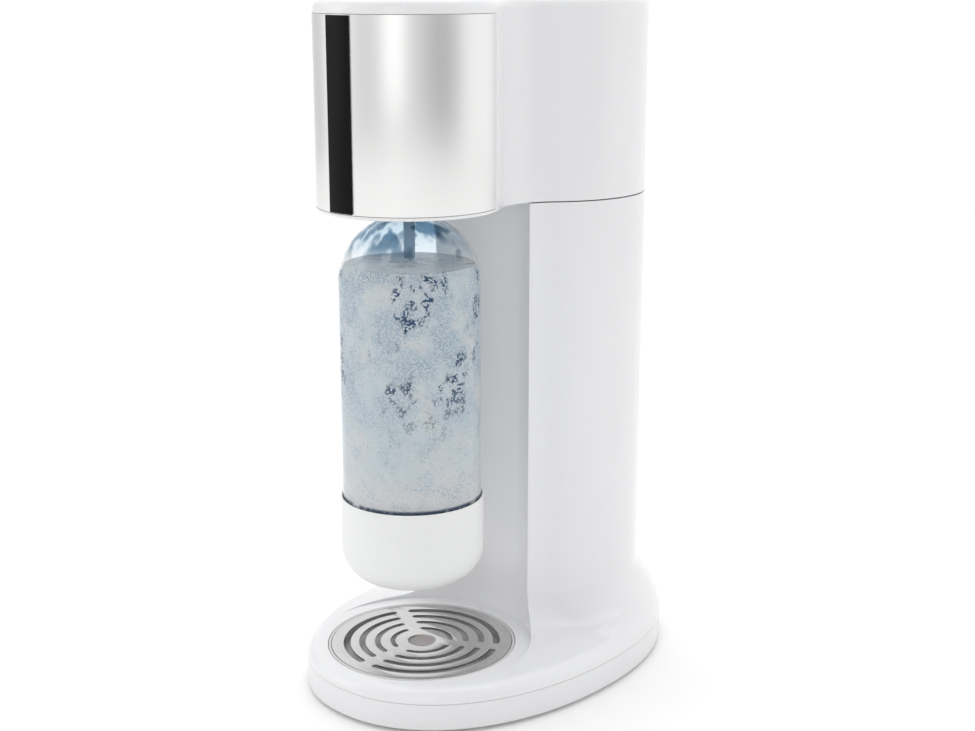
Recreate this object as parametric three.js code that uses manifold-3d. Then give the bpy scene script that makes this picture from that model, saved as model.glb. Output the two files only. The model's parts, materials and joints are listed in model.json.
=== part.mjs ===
// Soda carbonator: a worktop machine that carbonates a screwed-in water bottle by hand.
// Millimetres, +Z up, front towards -Y, origin on the worktop under the middle of the base.
import * as THREE from "three";
import { mergeVertices } from "three/addons/utils/BufferGeometryUtils.js";
import Module from "manifold-3d";

const wasm = await Module();
wasm.setup();

// ---------------------------------------------------------------- driving dimensions
const BASE_HALF_WIDTH = 97;
const BASE_HALF_DEPTH = 135.5;
const BASE_EXPONENT = 2.15; // 2 is an ellipse, more is squarer
const FEET_HEIGHT = 2;
const BASE_SEAM_Z = 19.5; // where the base pan meets the body shell
const FLARE_TOP_Z = 58; // where the base has swept up into the upright column
const DECK_Z = 29;
const HEAD_SEAM_Z = 309.5;
const HEAD_TOP_Z = 432;
const WALL = 2.5;
const HEAD_WALL = 3.2;
const SEAM = 0.5; // gap between two shells
const CLEAR = 0.3; // gap between pieces that touch
const SLIDE = 0.4; // gap round pieces that slide

const BOTTLE_Y = -72.5;
const TRAY_Y = BOTTLE_Y + 7;
const REAR_Y = 53.5;
const DRUM_RADIUS = 55; // front drum of the head
const REAR_RADIUS = 66; // rear drum of head and column
const WAIST_FILLET = 40; // concave side between the two drums
const COVER_HALF_ANGLE = 47; // degrees each side of the back
const COVER_BOTTOM_Z = 26;

const BOTTLE_RADIUS = 43.2;
const BOTTLE_BOTTOM_Z = 77.3;
const BOTTLE_SHOULDER_Z = 266;
const BOTTLE_MOUTH_Z = 338;
const BOTTLE_WALL = 1.2;
const NECK_RADIUS = 13.6;
const CUP_RADIUS = BOTTLE_RADIUS + 1.4;
const CUP_TOP_Z = 131;
const CUP_WALL = 1;
const WATER_Z = 277;
const NOZZLE_RADIUS = 3.45;
const NOZZLE_TIP_Z = 280;

const GRATE_RADIUS = 58;
const GRATE_THICKNESS = 1.2;
const TRAY_RADIUS = GRATE_RADIUS + 2;
const TRAY_DEPTH = 10.5;
const BAY_RADIUS = TRAY_RADIUS + 10.5; // round recess that the bottle stands in

const BAND_BOTTOM_Z = HEAD_SEAM_Z + 2.8;
const BAND_TOP_Z = HEAD_TOP_Z - 7.8;
const BAND_HALF_ANGLE = 113;
const BAND_THICKNESS = 0.8;
const STRIPE_WIDTH = 18;
const STRIPE_THICKNESS = 0.7;
const BUTTON_RADIUS = 38;
const BUTTON_TOP_Z = HEAD_TOP_Z - 1.6;

const CYLINDER_Y = 66;
const CYLINDER_RADIUS = 30;
const CYLINDER_BOTTOM_Z = 36;
const CYLINDER_TOP_Z = 345;
const VALVE_RADIUS = 10.4;
const VALVE_TOP_Z = CYLINDER_TOP_Z + 33;
const STEM_RADIUS = 1.5;

const PLATE_Z = BOTTLE_MOUTH_Z + 34; // underside of the frame's front plate
const PLATE_THICKNESS = 4;
const FRAME_HALF_WIDTH = 25;
const FRAME_WALL = 3;
const SPINE_Y = TRAY_Y + BAY_RADIUS + WALL + 4.5;
const FOOT_PLATE_Z = 24;
const LEVER_PIVOT_Y = 87;
const LEVER_PIVOT_Z = VALVE_TOP_Z + 26;
const LEVER_HALF_WIDTH = 7;
const LEVER_HALF_HEIGHT = 3;
const LEVER_CONTACT_Y = -60;
const PIN_RADIUS = 2.5;
const SCREW_RADIUS = 1.7;
const SCREW_HEAD_RADIUS = 3.5;
const SCREW_HEAD = 1.4;

// ---------------------------------------------------------------- geometry helpers
function solidOf(geometry) {
  const bare = geometry.clone();
  bare.deleteAttribute("normal");
  bare.deleteAttribute("uv");
  const merged = mergeVertices(bare, 1e-4);
  return new wasm.Manifold(
    new wasm.Mesh({
      numProp: 3,
      vertProperties: merged.attributes.position.array,
      triVerts: new Uint32Array(merged.index.array),
    }),
  );
}

function geometryOf(solid) {
  const mesh = solid.getMesh();
  return new THREE.BufferGeometry()
    .setAttribute("position", new THREE.BufferAttribute(mesh.vertProperties, mesh.numProp))
    .setIndex(new THREE.BufferAttribute(mesh.triVerts, 1));
}

const join = (...solids) => solids.reduce((a, b) => a.add(b));
const cut = (solid, ...tools) => tools.reduce((a, b) => a.subtract(b), solid);

// A profile of [radius, z] points, turned about an upright axis through (x, y).
function turned(profile, x, y, segments) {
  const points = profile.map(([r, z]) => new THREE.Vector2(r, z));
  const geometry = new THREE.LatheGeometry(points, segments);
  geometry.rotateX(Math.PI / 2).translate(x, y, 0);
  return solidOf(geometry);
}

function rod(radius, z0, z1, x, y, segments = 24) {
  const geometry = new THREE.CylinderGeometry(radius, radius, z1 - z0, segments);
  geometry.rotateX(Math.PI / 2).translate(x, y, (z0 + z1) / 2);
  return solidOf(geometry);
}

function ring(inner, outer, z0, z1, x, y, segments = 32) {
  return turned([[inner, z0], [outer, z0], [outer, z1], [inner, z1], [inner, z0]], x, y, segments);
}

function box(x0, x1, y0, y1, z0, z1) {
  const geometry = new THREE.BoxGeometry(x1 - x0, y1 - y0, z1 - z0);
  geometry.translate((x0 + x1) / 2, (y0 + y1) / 2, (z0 + z1) / 2);
  return solidOf(geometry);
}

function prism(shape, z0, z1, curveSegments = 12) {
  const depth = z1 - z0;
  const geometry = new THREE.ExtrudeGeometry(shape, { depth, bevelEnabled: false, curveSegments });
  geometry.translate(0, 0, z0);
  return solidOf(geometry);
}

function crossRod(radius, from, to, segments = 12) {
  const a = new THREE.Vector3(...from);
  const b = new THREE.Vector3(...to);
  const geometry = new THREE.CylinderGeometry(radius, radius, a.distanceTo(b), segments);
  const turn = new THREE.Quaternion().setFromUnitVectors(
    new THREE.Vector3(0, 1, 0),
    b.clone().sub(a).normalize(),
  );
  geometry.applyQuaternion(turn).translate(...a.add(b).multiplyScalar(0.5).toArray());
  return solidOf(geometry);
}

const COIL_STEPS = 8; // straight stretches in a turn of wire

// A coil spring about an upright axis, with a round wire.
function coil(meanRadius, wireRadius, turns, z0, z1, x, y) {
  const low = z0 + wireRadius;
  const rise = z1 - z0 - 2 * wireRadius;
  const points = [];
  const steps = turns * COIL_STEPS;
  for (let i = 0; i <= steps; i++) {
    const angle = (i / COIL_STEPS) * 2 * Math.PI;
    points.push(
      new THREE.Vector3(
        x + meanRadius * Math.cos(angle),
        y + meanRadius * Math.sin(angle),
        low + (rise * i) / steps,
      ),
    );
  }
  const wire = new THREE.Shape();
  wire.absarc(0, 0, wireRadius, 0, 2 * Math.PI);
  const extrudePath = new THREE.CatmullRomCurve3(points);
  return solidOf(new THREE.ExtrudeGeometry(wire, { steps, extrudePath, curveSegments: 3 }));
}

// A closed skin through rings. Each ring gives [radius, z] for an angle from the front.
function loft(rings, segments) {
  const position = [];
  const index = [];
  for (const at of rings)
    for (let i = 0; i < segments; i++) {
      const angle = (i / segments) * 2 * Math.PI;
      const [radius, z] = at(angle);
      position.push(radius * Math.sin(angle), -radius * Math.cos(angle), z);
    }
  const bottom = position.length / 3;
  position.push(0, 0, rings[0](0)[1]);
  position.push(0, 0, rings.at(-1)(0)[1]);
  const last = (rings.length - 1) * segments;
  for (let i = 0; i < segments; i++) {
    const next = (i + 1) % segments;
    index.push(bottom, next, i);
    index.push(bottom + 1, last + i, last + next);
    for (let k = 0; k < last; k += segments) {
      index.push(k + i, k + next, k + segments + next);
      index.push(k + i, k + segments + next, k + segments + i);
    }
  }
  const geometry = new THREE.BufferGeometry()
    .setAttribute("position", new THREE.Float32BufferAttribute(position, 3))
    .setIndex(index);
  return solidOf(geometry);
}

// ---------------------------------------------------------------- outlines, as radius by angle
const mix = (a, b, t) => a + (b - a) * t;
const RADIANS = Math.PI / 180;
const OUTLINE_SEGMENTS = 52;

function baseRadius(angle, inset = 0) {
  const n = BASE_EXPONENT;
  const across = Math.abs(Math.sin(angle)) / (BASE_HALF_WIDTH - inset);
  const along = Math.abs(Math.cos(angle)) / (BASE_HALF_DEPTH - inset);
  return (across ** n + along ** n) ** (-1 / n);
}

// Centre of the concave fillet beside a front and a rear circle.
function filletCentre(frontRadius, frontY) {
  const a = frontRadius + WAIST_FILLET;
  const b = REAR_RADIUS + WAIST_FILLET;
  const y = (a * a - b * b + REAR_Y * REAR_Y - frontY * frontY) / (2 * (REAR_Y - frontY));
  return [Math.sqrt(a * a - (y - frontY) ** 2), y];
}

const WAIST = filletCentre(DRUM_RADIUS, BOTTLE_Y);
const COLUMN_FRONT = WAIST[0] - WAIST_FILLET; // half-width of the column at its waist

// Outline of two round drums with a concave fillet between them.
function drumsRadius(angle, frontRadius, frontY, inset) {
  const [x, y] = [Math.abs(Math.sin(angle)), -Math.cos(angle)];
  const [waistX, waistY] = WAIST;
  const touch = (radius, centreY) => {
    const share = (radius - inset) / (radius + WAIST_FILLET);
    return Math.atan2(waistX * share, -(centreY + (waistY - centreY) * share));
  };
  const hit = (cx, cy, radius, side) => {
    const along = x * cx + y * cy;
    return along + side * Math.sqrt(along * along - cx * cx - cy * cy + radius * radius);
  };
  const around = Math.atan2(x, -y);
  if (around < touch(frontRadius, frontY)) return hit(0, frontY, frontRadius - inset, 1);
  if (around < touch(REAR_RADIUS, REAR_Y)) return hit(waistX, waistY, WAIST_FILLET + inset, -1);
  return hit(0, REAR_Y, REAR_RADIUS - inset, 1);
}

const columnRadius = (angle, inset = 0) => drumsRadius(angle, COLUMN_FRONT, WAIST[1], inset);
const headRadius = (angle, inset = 0) => drumsRadius(angle, DRUM_RADIUS, BOTTLE_Y, inset);

function cubic(a, b, c, d, t) {
  const s = 1 - t;
  return a * s ** 3 + 3 * b * t * s * s + 3 * c * t * t * s + d * t ** 3;
}

// Section of the base from its seam (t = 0) up to the column (t = 1), as [inset, z].
// Where the base runs far out it is a rounded edge, a deck and a fillet; at the back, one S-curve.
function flareSection(run, t) {
  const rise = FLARE_TOP_Z - BASE_SEAM_Z;
  const edge = 10;
  const edgeHeight = DECK_Z - 0.4 - BASE_SEAM_Z;
  const fillet = 28;
  const deckHeight = DECK_Z + 2 - BASE_SEAM_Z;
  let wide;
  if (t < 0.4) {
    const turn = (t / 0.4) * (Math.PI / 2);
    wide = [edge * (1 - Math.cos(turn)), edgeHeight * Math.sin(turn)];
  } else if (t < 0.5) {
    const along = (t - 0.4) / 0.1;
    wide = [mix(edge, run - fillet, along), mix(edgeHeight, deckHeight, along)];
  } else {
    const turn = ((t - 0.5) / 0.5) * (Math.PI / 2);
    const drop = (rise - deckHeight) * (1 - Math.cos(turn));
    wide = [run - fillet + fillet * Math.sin(turn), deckHeight + drop];
  }
  const narrow = [
    run * (3 * t * t - 2 * t ** 3),
    cubic(0, 0.58 * rise, 0.71 * rise, rise, t),
  ];
  const width = THREE.MathUtils.smoothstep(run, 20, 52);
  return [mix(narrow[0], wide[0], width), BASE_SEAM_Z + mix(narrow[1], wide[1], width)];
}

const FLARE_STEPS = [0, 0.15, 0.3, 0.4, 0.5, 0.65, 0.8, 1];

// ---------------------------------------------------------------- base
const PAN_TOP_Z = BASE_SEAM_Z - CLEAR;
const PAN_FLOOR_Z = FEET_HEIGHT + WALL;

// Four places, mirrored left and right: one pair at the front and one at the rear.
const fourPlaces = ([frontX, frontY], [rearX, rearY]) => ({
  front_left: [-frontX, frontY],
  front_right: [frontX, frontY],
  rear_left: [-rearX, rearY],
  rear_right: [rearX, rearY],
});
const twoPlaces = (x, y) => ({ left: [-x, y], right: [x, y] });

const FOOT_PLACES = fourPlaces([58, -82], [60, 82]);
const BASE_SCREW_PLACES = fourPlaces([76, -8], [66, 60]);
const FRAME_SCREW_PLACES = fourPlaces([32, SPINE_Y + 10], [32, SPINE_Y + 34]);
const TRAY_SEAT_Z = DECK_Z - TRAY_DEPTH;

// Holes that screws pass through, and holes that they thread into.
const rodsAt = (places, radius, z0, z1) =>
  Object.values(places).map(([x, y]) => rod(radius, z0, z1, x, y, 8));
const screwClearance = (places, z0, z1) => rodsAt(places, SCREW_RADIUS + 0.4, z0, z1);
const screwThread = (places, z0, z1) => rodsAt(places, SCREW_RADIUS + 0.2, z0, z1);

function basePan() {
  const edge = 1.5;
  const outer = loft(
    [
      (a) => [baseRadius(a, edge), FEET_HEIGHT],
      (a) => [baseRadius(a, 0), FEET_HEIGHT + edge],
      (a) => [baseRadius(a, 0), PAN_TOP_Z],
    ],
    OUTLINE_SEGMENTS,
  );
  const inner = loft(
    [(a) => [baseRadius(a, WALL), PAN_FLOOR_Z], (a) => [baseRadius(a, WALL), PAN_TOP_Z + 1]],
    OUTLINE_SEGMENTS,
  );
  const floor = PAN_FLOOR_Z - 0.5;
  const traySeat = ring(TRAY_RADIUS - 10, TRAY_RADIUS - 8, floor, TRAY_SEAT_Z - CLEAR, 0, TRAY_Y, 24);
  const bosses = Object.values(FRAME_SCREW_PLACES).map(([x, y]) =>
    ring(SCREW_RADIUS + 0.2, 5.5, floor, FOOT_PLATE_Z - CLEAR, x, y, 8),
  );
  const footHoles = Object.values(FOOT_PLACES).map(([x, y]) => rod(3.4, 0, 9, x, y, 12));
  const screwHoles = screwClearance(BASE_SCREW_PLACES, 0, 9);
  return cut(join(cut(outer, inner), traySeat, ...bosses), ...footHoles, ...screwHoles);
}

function foot([x, y]) {
  const under = FEET_HEIGHT - CLEAR;
  const over = PAN_FLOOR_Z + CLEAR;
  const profile = [
    [0, 0],
    [8.4, 0],
    [9, 0.6],
    [9, under],
    [3, under],
    [3, over],
    [3.7, over + 0.6],
    [2.4, over + 2.4],
    [0, over + 2.4],
  ];
  return turned(profile, x, y, 12);
}

// Screw that points down from a head above it.
function screwDown([x, y], seatZ, length) {
  const head = seatZ + CLEAR;
  return join(
    rod(SCREW_HEAD_RADIUS, head, head + SCREW_HEAD, x, y, 8),
    rod(SCREW_RADIUS, head - length, head + 0.2, x, y, 8),
  );
}

function screwUp([x, y], seatZ, length) {
  const head = seatZ - 0.2 - SCREW_HEAD;
  return join(
    rod(SCREW_HEAD_RADIUS, head, head + SCREW_HEAD, x, y, 8),
    rod(SCREW_RADIUS, head + 0.4, head + length, x, y, 8),
  );
}

// ---------------------------------------------------------------- body shell and rear cover
function bodySkin(inset, lift) {
  const foot = inset ? BASE_SEAM_Z - 1 : BASE_SEAM_Z;
  const run = (a) => baseRadius(a, inset) - columnRadius(a, inset);
  const rings = FLARE_STEPS.map((t) => (a) => {
    const [in_, z] = flareSection(run(a), t);
    return [baseRadius(a, inset) - in_, t === 0 ? foot : z - inset];
  });
  rings.push((a) => [columnRadius(a, inset), HEAD_SEAM_Z + lift]);
  return loft(rings, OUTLINE_SEGMENTS);
}

function bayTool(grow) {
  return rod(BAY_RADIUS + grow, DECK_Z - grow, HEAD_SEAM_Z + 5, 0, TRAY_Y, 60);
}

// Wedge that opens to the back, for the rear cover and the opening that it closes.
function coverWedge(apexY, bottomZ) {
  const reach = 160;
  const half = COVER_HALF_ANGLE * RADIANS;
  const shape = new THREE.Shape();
  shape.moveTo(0, apexY);
  shape.lineTo(reach * Math.sin(half), apexY + reach * Math.cos(half));
  shape.lineTo(-reach * Math.sin(half), apexY + reach * Math.cos(half));
  return prism(shape, bottomZ, HEAD_SEAM_Z + 5);
}

const FINGER_NOTCH_Z = 230;
const FINGER_NOTCH_RADIUS = 9;

// Finger grips, half in the shell and half in the cover, where their seam runs up the column.
function fingerNotches() {
  const half = COVER_HALF_ANGLE * RADIANS;
  return [-1, 1].map((side) => {
    const geometry = new THREE.SphereGeometry(FINGER_NOTCH_RADIUS, 14, 8);
    const out = REAR_RADIUS + FINGER_NOTCH_RADIUS - 1.6;
    geometry.translate(side * out * Math.sin(half), REAR_Y + out * Math.cos(half), FINGER_NOTCH_Z);
    return solidOf(geometry);
  });
}

function bodyWalls() {
  const outer = cut(bodySkin(0, 0), bayTool(0));
  const inner = cut(bodySkin(WALL, 1), bayTool(WALL));
  const walls = cut(outer, inner);
  return { outer, walls: cut(walls, ...fingerNotches()) };
}

function bodyShell({ outer, walls }) {
  const bosses = Object.values(BASE_SCREW_PLACES).map(([x, y]) =>
    rod(5, PAN_FLOOR_Z + CLEAR, FLARE_TOP_Z, x, y, 12),
  );
  const pilots = screwThread(BASE_SCREW_PLACES, 0, 19);
  const skirt = rod(200, 0, BASE_SEAM_Z, 0, 0, 8); // bosses may hang below the seam
  const rooted = join(...bosses).intersect(join(outer, skirt));
  return cut(
    join(walls, rooted),
    ...pilots,
    rod(TRAY_RADIUS + SLIDE, DECK_Z - 5, DECK_Z + 1, 0, TRAY_Y, 40),
    coverWedge(REAR_Y, COVER_BOTTOM_Z),
  );
}

const rearCover = ({ walls }) =>
  walls.intersect(coverWedge(REAR_Y + 0.6, COVER_BOTTOM_Z + SEAM));

// ---------------------------------------------------------------- inner frame
const PLATE_TOP_Z = PLATE_Z + PLATE_THICKNESS;
const SHELF_Z = VALVE_TOP_Z + 14.3;
const SHELF_TOP_Z = SHELF_Z + 3;
const FOOT_PLATE_TOP_Z = FOOT_PLATE_Z + 4;
const FRAME_BACK_Y = LEVER_PIVOT_Y + 9;
const HOSE_BARB_Y = BOTTLE_Y + 12.5;
const RELIEF_Y = BOTTLE_Y - 13.5;
const RELIEF_CAP_RADIUS = 3.9;
const HEAD_SCREW_PLACES = twoPlaces(34, BOTTLE_Y);
const NOZZLE_SCREW_PLACES = twoPlaces(13, HOSE_BARB_Y);
const VALVE_SCREW_PLACES = twoPlaces(14, CYLINDER_Y);
const PIN_SHAFT_RADIUS = 2.2;

// Level rod along the lever's pivot, from side to side.
const pivotRod = (radius, half, segments) =>
  crossRod(
    radius,
    [-half, LEVER_PIVOT_Y, LEVER_PIVOT_Z],
    [half, LEVER_PIVOT_Y, LEVER_PIVOT_Z],
    segments,
  );

function innerFrame() {
  const w = FRAME_HALF_WIDTH;
  const sides = [-1, 1].flatMap((side) => {
    const x0 = side > 0 ? w - FRAME_WALL : -w;
    return [
      box(x0, x0 + FRAME_WALL, SPINE_Y, SPINE_Y + 18, FOOT_PLATE_Z, CYLINDER_TOP_Z + 21),
      box(x0, x0 + FRAME_WALL, SPINE_Y, FRAME_BACK_Y, CYLINDER_TOP_Z + 15, LEVER_PIVOT_Z + 8),
    ];
  });
  const spine = box(-w, w, SPINE_Y, SPINE_Y + FRAME_WALL, FOOT_PLATE_Z, PLATE_TOP_Z);
  const footPlate = box(-40, 40, SPINE_Y, SPINE_Y + 42, FOOT_PLATE_Z, FOOT_PLATE_TOP_Z);
  const frontPlate = box(-30, 30, BOTTLE_Y - 30, SPINE_Y + 1, PLATE_Z, PLATE_TOP_Z);
  const pads = Object.values(HEAD_SCREW_PLACES).map(([x, y]) =>
    rod(8, PLATE_Z, PLATE_TOP_Z, x, y, 20),
  );
  const shelf = box(-w, w, CYLINDER_Y - 20, FRAME_BACK_Y, SHELF_Z, SHELF_TOP_Z);
  const holes = [
    ...screwClearance(HEAD_SCREW_PLACES, PLATE_Z - 1, PLATE_TOP_Z + 1),
    ...screwClearance(NOZZLE_SCREW_PLACES, PLATE_Z - 1, PLATE_TOP_Z + 1),
    ...screwClearance(VALVE_SCREW_PLACES, SHELF_Z - 1, SHELF_TOP_Z + 1),
    ...screwClearance(FRAME_SCREW_PLACES, FOOT_PLATE_Z - 1, FOOT_PLATE_TOP_Z + 1),
    rod(5, PLATE_Z - 1, PLATE_TOP_Z + 1, 0, HOSE_BARB_Y, 16),
    rod(RELIEF_CAP_RADIUS + SLIDE, PLATE_Z - 1, PLATE_TOP_Z + 1, 0, RELIEF_Y, 16),
    rod(PIN_SHAFT_RADIUS + SLIDE, SHELF_Z - 1, SHELF_TOP_Z + 1, 0, CYLINDER_Y, 16),
    pivotRod(PIN_RADIUS + 0.1, w + 1, 16),
  ];
  return cut(join(spine, footPlate, ...sides, frontPlate, ...pads, shelf), ...holes);
}

// ---------------------------------------------------------------- head
const HEAD_BOTTOM_Z = HEAD_SEAM_Z + SEAM;
const HEAD_FLOOR = 2.5;
const RIM_BEVEL = 3;
const LID_INSET = 5;
const LID_SEAT_Z = HEAD_TOP_Z - 4.6;
const LID_THICKNESS = 2.2;
const SOCKET_RADIUS = NECK_RADIUS + 11.4;

// Part of a ring about the front drum's axis, as far as an angle each side of the front in degrees.
function drumBand(inner, outer, halfAngle, z0, z1, segments = 20) {
  const start = (-halfAngle - 90) * RADIANS;
  const end = (halfAngle - 90) * RADIANS;
  const shape = new THREE.Shape();
  shape.absarc(0, BOTTLE_Y, outer, start, end, false);
  shape.absarc(0, BOTTLE_Y, inner, end, start, true);
  shape.closePath();
  return prism(shape, z0, z1, segments);
}

// Straight-sided block with the head's outline, drawn inwards by an inset.
const headBlock = (inset, z0, z1) =>
  loft([(a) => [headRadius(a, inset), z0], (a) => [headRadius(a, inset), z1]], OUTLINE_SEGMENTS);

function headShell() {
  const outer = loft(
    [
      (a) => [headRadius(a, 0.8), HEAD_BOTTOM_Z],
      (a) => [headRadius(a, 0), HEAD_BOTTOM_Z + 1.2],
      (a) => [headRadius(a, 0), HEAD_TOP_Z - 5],
      (a) => [headRadius(a, 0.9), HEAD_TOP_Z - 2],
      (a) => [headRadius(a, RIM_BEVEL), HEAD_TOP_Z],
    ],
    OUTLINE_SEGMENTS,
  );
  const inner = headBlock(HEAD_WALL, HEAD_BOTTOM_Z - 1, LID_SEAT_Z - 4);
  const mouth = headBlock(LID_INSET + 3, LID_SEAT_Z - 5, HEAD_TOP_Z + 1);
  const lidSeat = headBlock(LID_INSET, LID_SEAT_Z, HEAD_TOP_Z + 1);
  const floorOutline = headBlock(1, HEAD_BOTTOM_Z, HEAD_BOTTOM_Z + HEAD_FLOOR);
  const overBay = rod(BAY_RADIUS + WALL, HEAD_BOTTOM_Z - 2, HEAD_BOTTOM_Z + 9, 0, TRAY_Y, 72);
  const socketHole = rod(SOCKET_RADIUS + SLIDE, HEAD_BOTTOM_Z - 1, HEAD_BOTTOM_Z + 9, 0, BOTTLE_Y, 36);
  const floor = cut(floorOutline.intersect(overBay), socketHole);
  const bosses = Object.values(HEAD_SCREW_PLACES).map(([x, y]) =>
    rod(5.5, HEAD_BOTTOM_Z + 1, PLATE_Z - CLEAR, x, y, 16),
  );
  const pilots = screwThread(HEAD_SCREW_PLACES, PLATE_Z - 26, PLATE_Z + 1);
  const recess = drumBand(
    DRUM_RADIUS - BAND_THICKNESS - CLEAR,
    DRUM_RADIUS + 2,
    BAND_HALF_ANGLE + 0.4,
    BAND_BOTTOM_Z - CLEAR,
    BAND_TOP_Z + CLEAR,
  );
  return cut(join(cut(outer, inner, mouth, lidSeat), floor, ...bosses), ...pilots, recess);
}

const steelSleeve = () =>
  drumBand(
    DRUM_RADIUS - BAND_THICKNESS,
    DRUM_RADIUS,
    BAND_HALF_ANGLE,
    BAND_BOTTOM_Z,
    BAND_TOP_Z,
  );

function glossStripe() {
  const half = STRIPE_WIDTH / 2 / DRUM_RADIUS / RADIANS;
  const inner = DRUM_RADIUS + CLEAR;
  return drumBand(inner, inner + STRIPE_THICKNESS, half, BAND_BOTTOM_Z + 0.4, BAND_TOP_Z - 0.4, 4);
}

function topCover() {
  const z0 = LID_SEAT_Z + CLEAR;
  const plate = headBlock(LID_INSET + CLEAR, z0, z0 + LID_THICKNESS);
  return cut(plate, rod(BUTTON_RADIUS + SLIDE, z0 - 1, z0 + 9, 0, BOTTLE_Y, 40));
}

// ---------------------------------------------------------------- button and lever
const BUTTON_UNDER_Z = BUTTON_TOP_Z - 2.6;
const LEVER_TOP_Z = LEVER_PIVOT_Z + LEVER_HALF_HEIGHT;
const LEVER_UNDER_Z = LEVER_PIVOT_Z - LEVER_HALF_HEIGHT;
const SPRING_PLACES = twoPlaces(20, BOTTLE_Y - 11.5);

function pushButton() {
  const skirt = 2;
  const skirtZ = BUTTON_UNDER_Z - 15;
  const profile = [
    [0, BUTTON_UNDER_Z],
    [BUTTON_RADIUS - skirt, BUTTON_UNDER_Z],
    [BUTTON_RADIUS - skirt, skirtZ],
    [BUTTON_RADIUS, skirtZ],
    [BUTTON_RADIUS, BUTTON_TOP_Z - 1.2],
    [BUTTON_RADIUS - 1.2, BUTTON_TOP_Z - 0.2],
    [BUTTON_RADIUS - 6, BUTTON_TOP_Z],
    [0, BUTTON_TOP_Z],
  ];
  const post = rod(5, LEVER_TOP_Z + SLIDE, BUTTON_UNDER_Z + 1, 0, LEVER_CONTACT_Y, 16);
  return join(turned(profile, 0, BOTTLE_Y, 40), post);
}

const buttonSpring = ([x, y]) =>
  coil(7, 0.8, 6, PLATE_TOP_Z + CLEAR, BUTTON_UNDER_Z - CLEAR, x, y);

function lever() {
  const w = LEVER_HALF_WIDTH;
  const bar = box(-w, w, LEVER_CONTACT_Y - 6, LEVER_PIVOT_Y, LEVER_UNDER_Z, LEVER_TOP_Z);
  return cut(join(bar, pivotRod(5, w, 20)), pivotRod(PIN_RADIUS + 0.1, w + 1, 16));
}

const leverPin = () => pivotRod(PIN_RADIUS, FRAME_HALF_WIDTH + 1.5, 16);

const STEM_TOP_Z = VALVE_TOP_Z + 1.5;

function actuatorPin() {
  const head = LEVER_UNDER_Z - SLIDE;
  return join(
    rod(PIN_SHAFT_RADIUS, STEM_TOP_Z + SLIDE, head, 0, CYLINDER_Y, 16),
    rod(4, head - 2.4, head, 0, CYLINDER_Y, 16),
  );
}

// ---------------------------------------------------------------- gas side
const SEAT_TOP_Z = VALVE_TOP_Z - 1;
const BLOCK_BOTTOM_Z = SEAT_TOP_Z + CLEAR;
const BLOCK_HALF = 18.5;
const OUTLET_Z = BLOCK_BOTTOM_Z + 7.2;
const BARB_RADIUS = 1.6;
const HOSE_RADIUS = 3;

function gasCylinder() {
  const r = CYLINDER_RADIUS;
  const z0 = CYLINDER_BOTTOM_Z;
  const z1 = CYLINDER_TOP_Z;
  const neck = 13;
  const bore = 8;
  const wall = 3;
  const outer = [
    [0, z0 + 5],
    [r - 12, z0 + 3],
    [r - 7, z0],
    [r - 2, z0 + 2],
    [r, z0 + 8],
    [r, z1 - 26],
    [r - 3, z1 - 15],
    [neck + 4, z1 - 5],
    [neck, z1],
  ];
  const inner = [
    [bore, z1],
    [bore, z1 - 9],
    [r - wall - 3, z1 - 18],
    [r - wall, z1 - 27],
    [r - wall, z0 + 10],
    [r - 8, z0 + 7],
    [0, z0 + 8],
  ];
  return turned([...outer, ...inner], 0, CYLINDER_Y, 24);
}

function cylinderValve() {
  const z0 = CYLINDER_TOP_Z + CLEAR;
  const bore = STEM_RADIUS + CLEAR;
  const profile = [
    [bore, z0 - 12],
    [7.6, z0 - 12],
    [7.6, z0],
    [12.5, z0],
    [12.5, z0 + 9],
    [VALVE_RADIUS, z0 + 11],
    [VALVE_RADIUS, VALVE_TOP_Z - 0.8],
    [VALVE_RADIUS - 0.8, VALVE_TOP_Z],
    [bore, VALVE_TOP_Z],
    [bore, z0 - 12],
  ];
  return turned(profile, 0, CYLINDER_Y, 20);
}

const cylinderStem = () => rod(STEM_RADIUS, CYLINDER_TOP_Z + 6, STEM_TOP_Z, 0, CYLINDER_Y, 12);

function cylinderSeat() {
  const body = ring(VALVE_RADIUS + CLEAR, 19, SEAT_TOP_Z - 17, SEAT_TOP_Z, 0, CYLINDER_Y, 24);
  return cut(body, ...screwThread(VALVE_SCREW_PLACES, SEAT_TOP_Z - 12, SEAT_TOP_Z + 1));
}

function valveBlock() {
  const b = BLOCK_HALF;
  const front = CYLINDER_Y - b;
  const block = box(-b, b, front, CYLINDER_Y + b, BLOCK_BOTTOM_Z, SHELF_Z - CLEAR);
  const barb = crossRod(BARB_RADIUS, [0, front - 8, OUTLET_Z], [0, front + 2, OUTLET_Z], 12);
  const outlet = crossRod(0.8, [0, front - 9, OUTLET_Z], [0, CYLINDER_Y, OUTLET_Z], 8);
  const tools = [
    rod(PIN_SHAFT_RADIUS + CLEAR, BLOCK_BOTTOM_Z - 1, SHELF_Z + 1, 0, CYLINDER_Y, 16),
    rod(VALVE_RADIUS + CLEAR, BLOCK_BOTTOM_Z - 1, BLOCK_BOTTOM_Z + 3.4, 0, CYLINDER_Y, 20),
    ...screwClearance(VALVE_SCREW_PLACES, BLOCK_BOTTOM_Z - 1, SHELF_Z + 1),
  ];
  return cut(join(block, barb), outlet, ...tools);
}

// Ring seal with an eight-sided section.
function seal(inner, outer, z0, z1, x, y) {
  const c = 0.4;
  const profile = [
    [inner, z0 + c],
    [inner + c, z0],
    [outer - c, z0],
    [outer, z0 + c],
    [outer, z1 - c],
    [outer - c, z1],
    [inner + c, z1],
    [inner, z1 - c],
    [inner, z0 + c],
  ];
  return turned(profile, x, y, 16);
}

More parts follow.
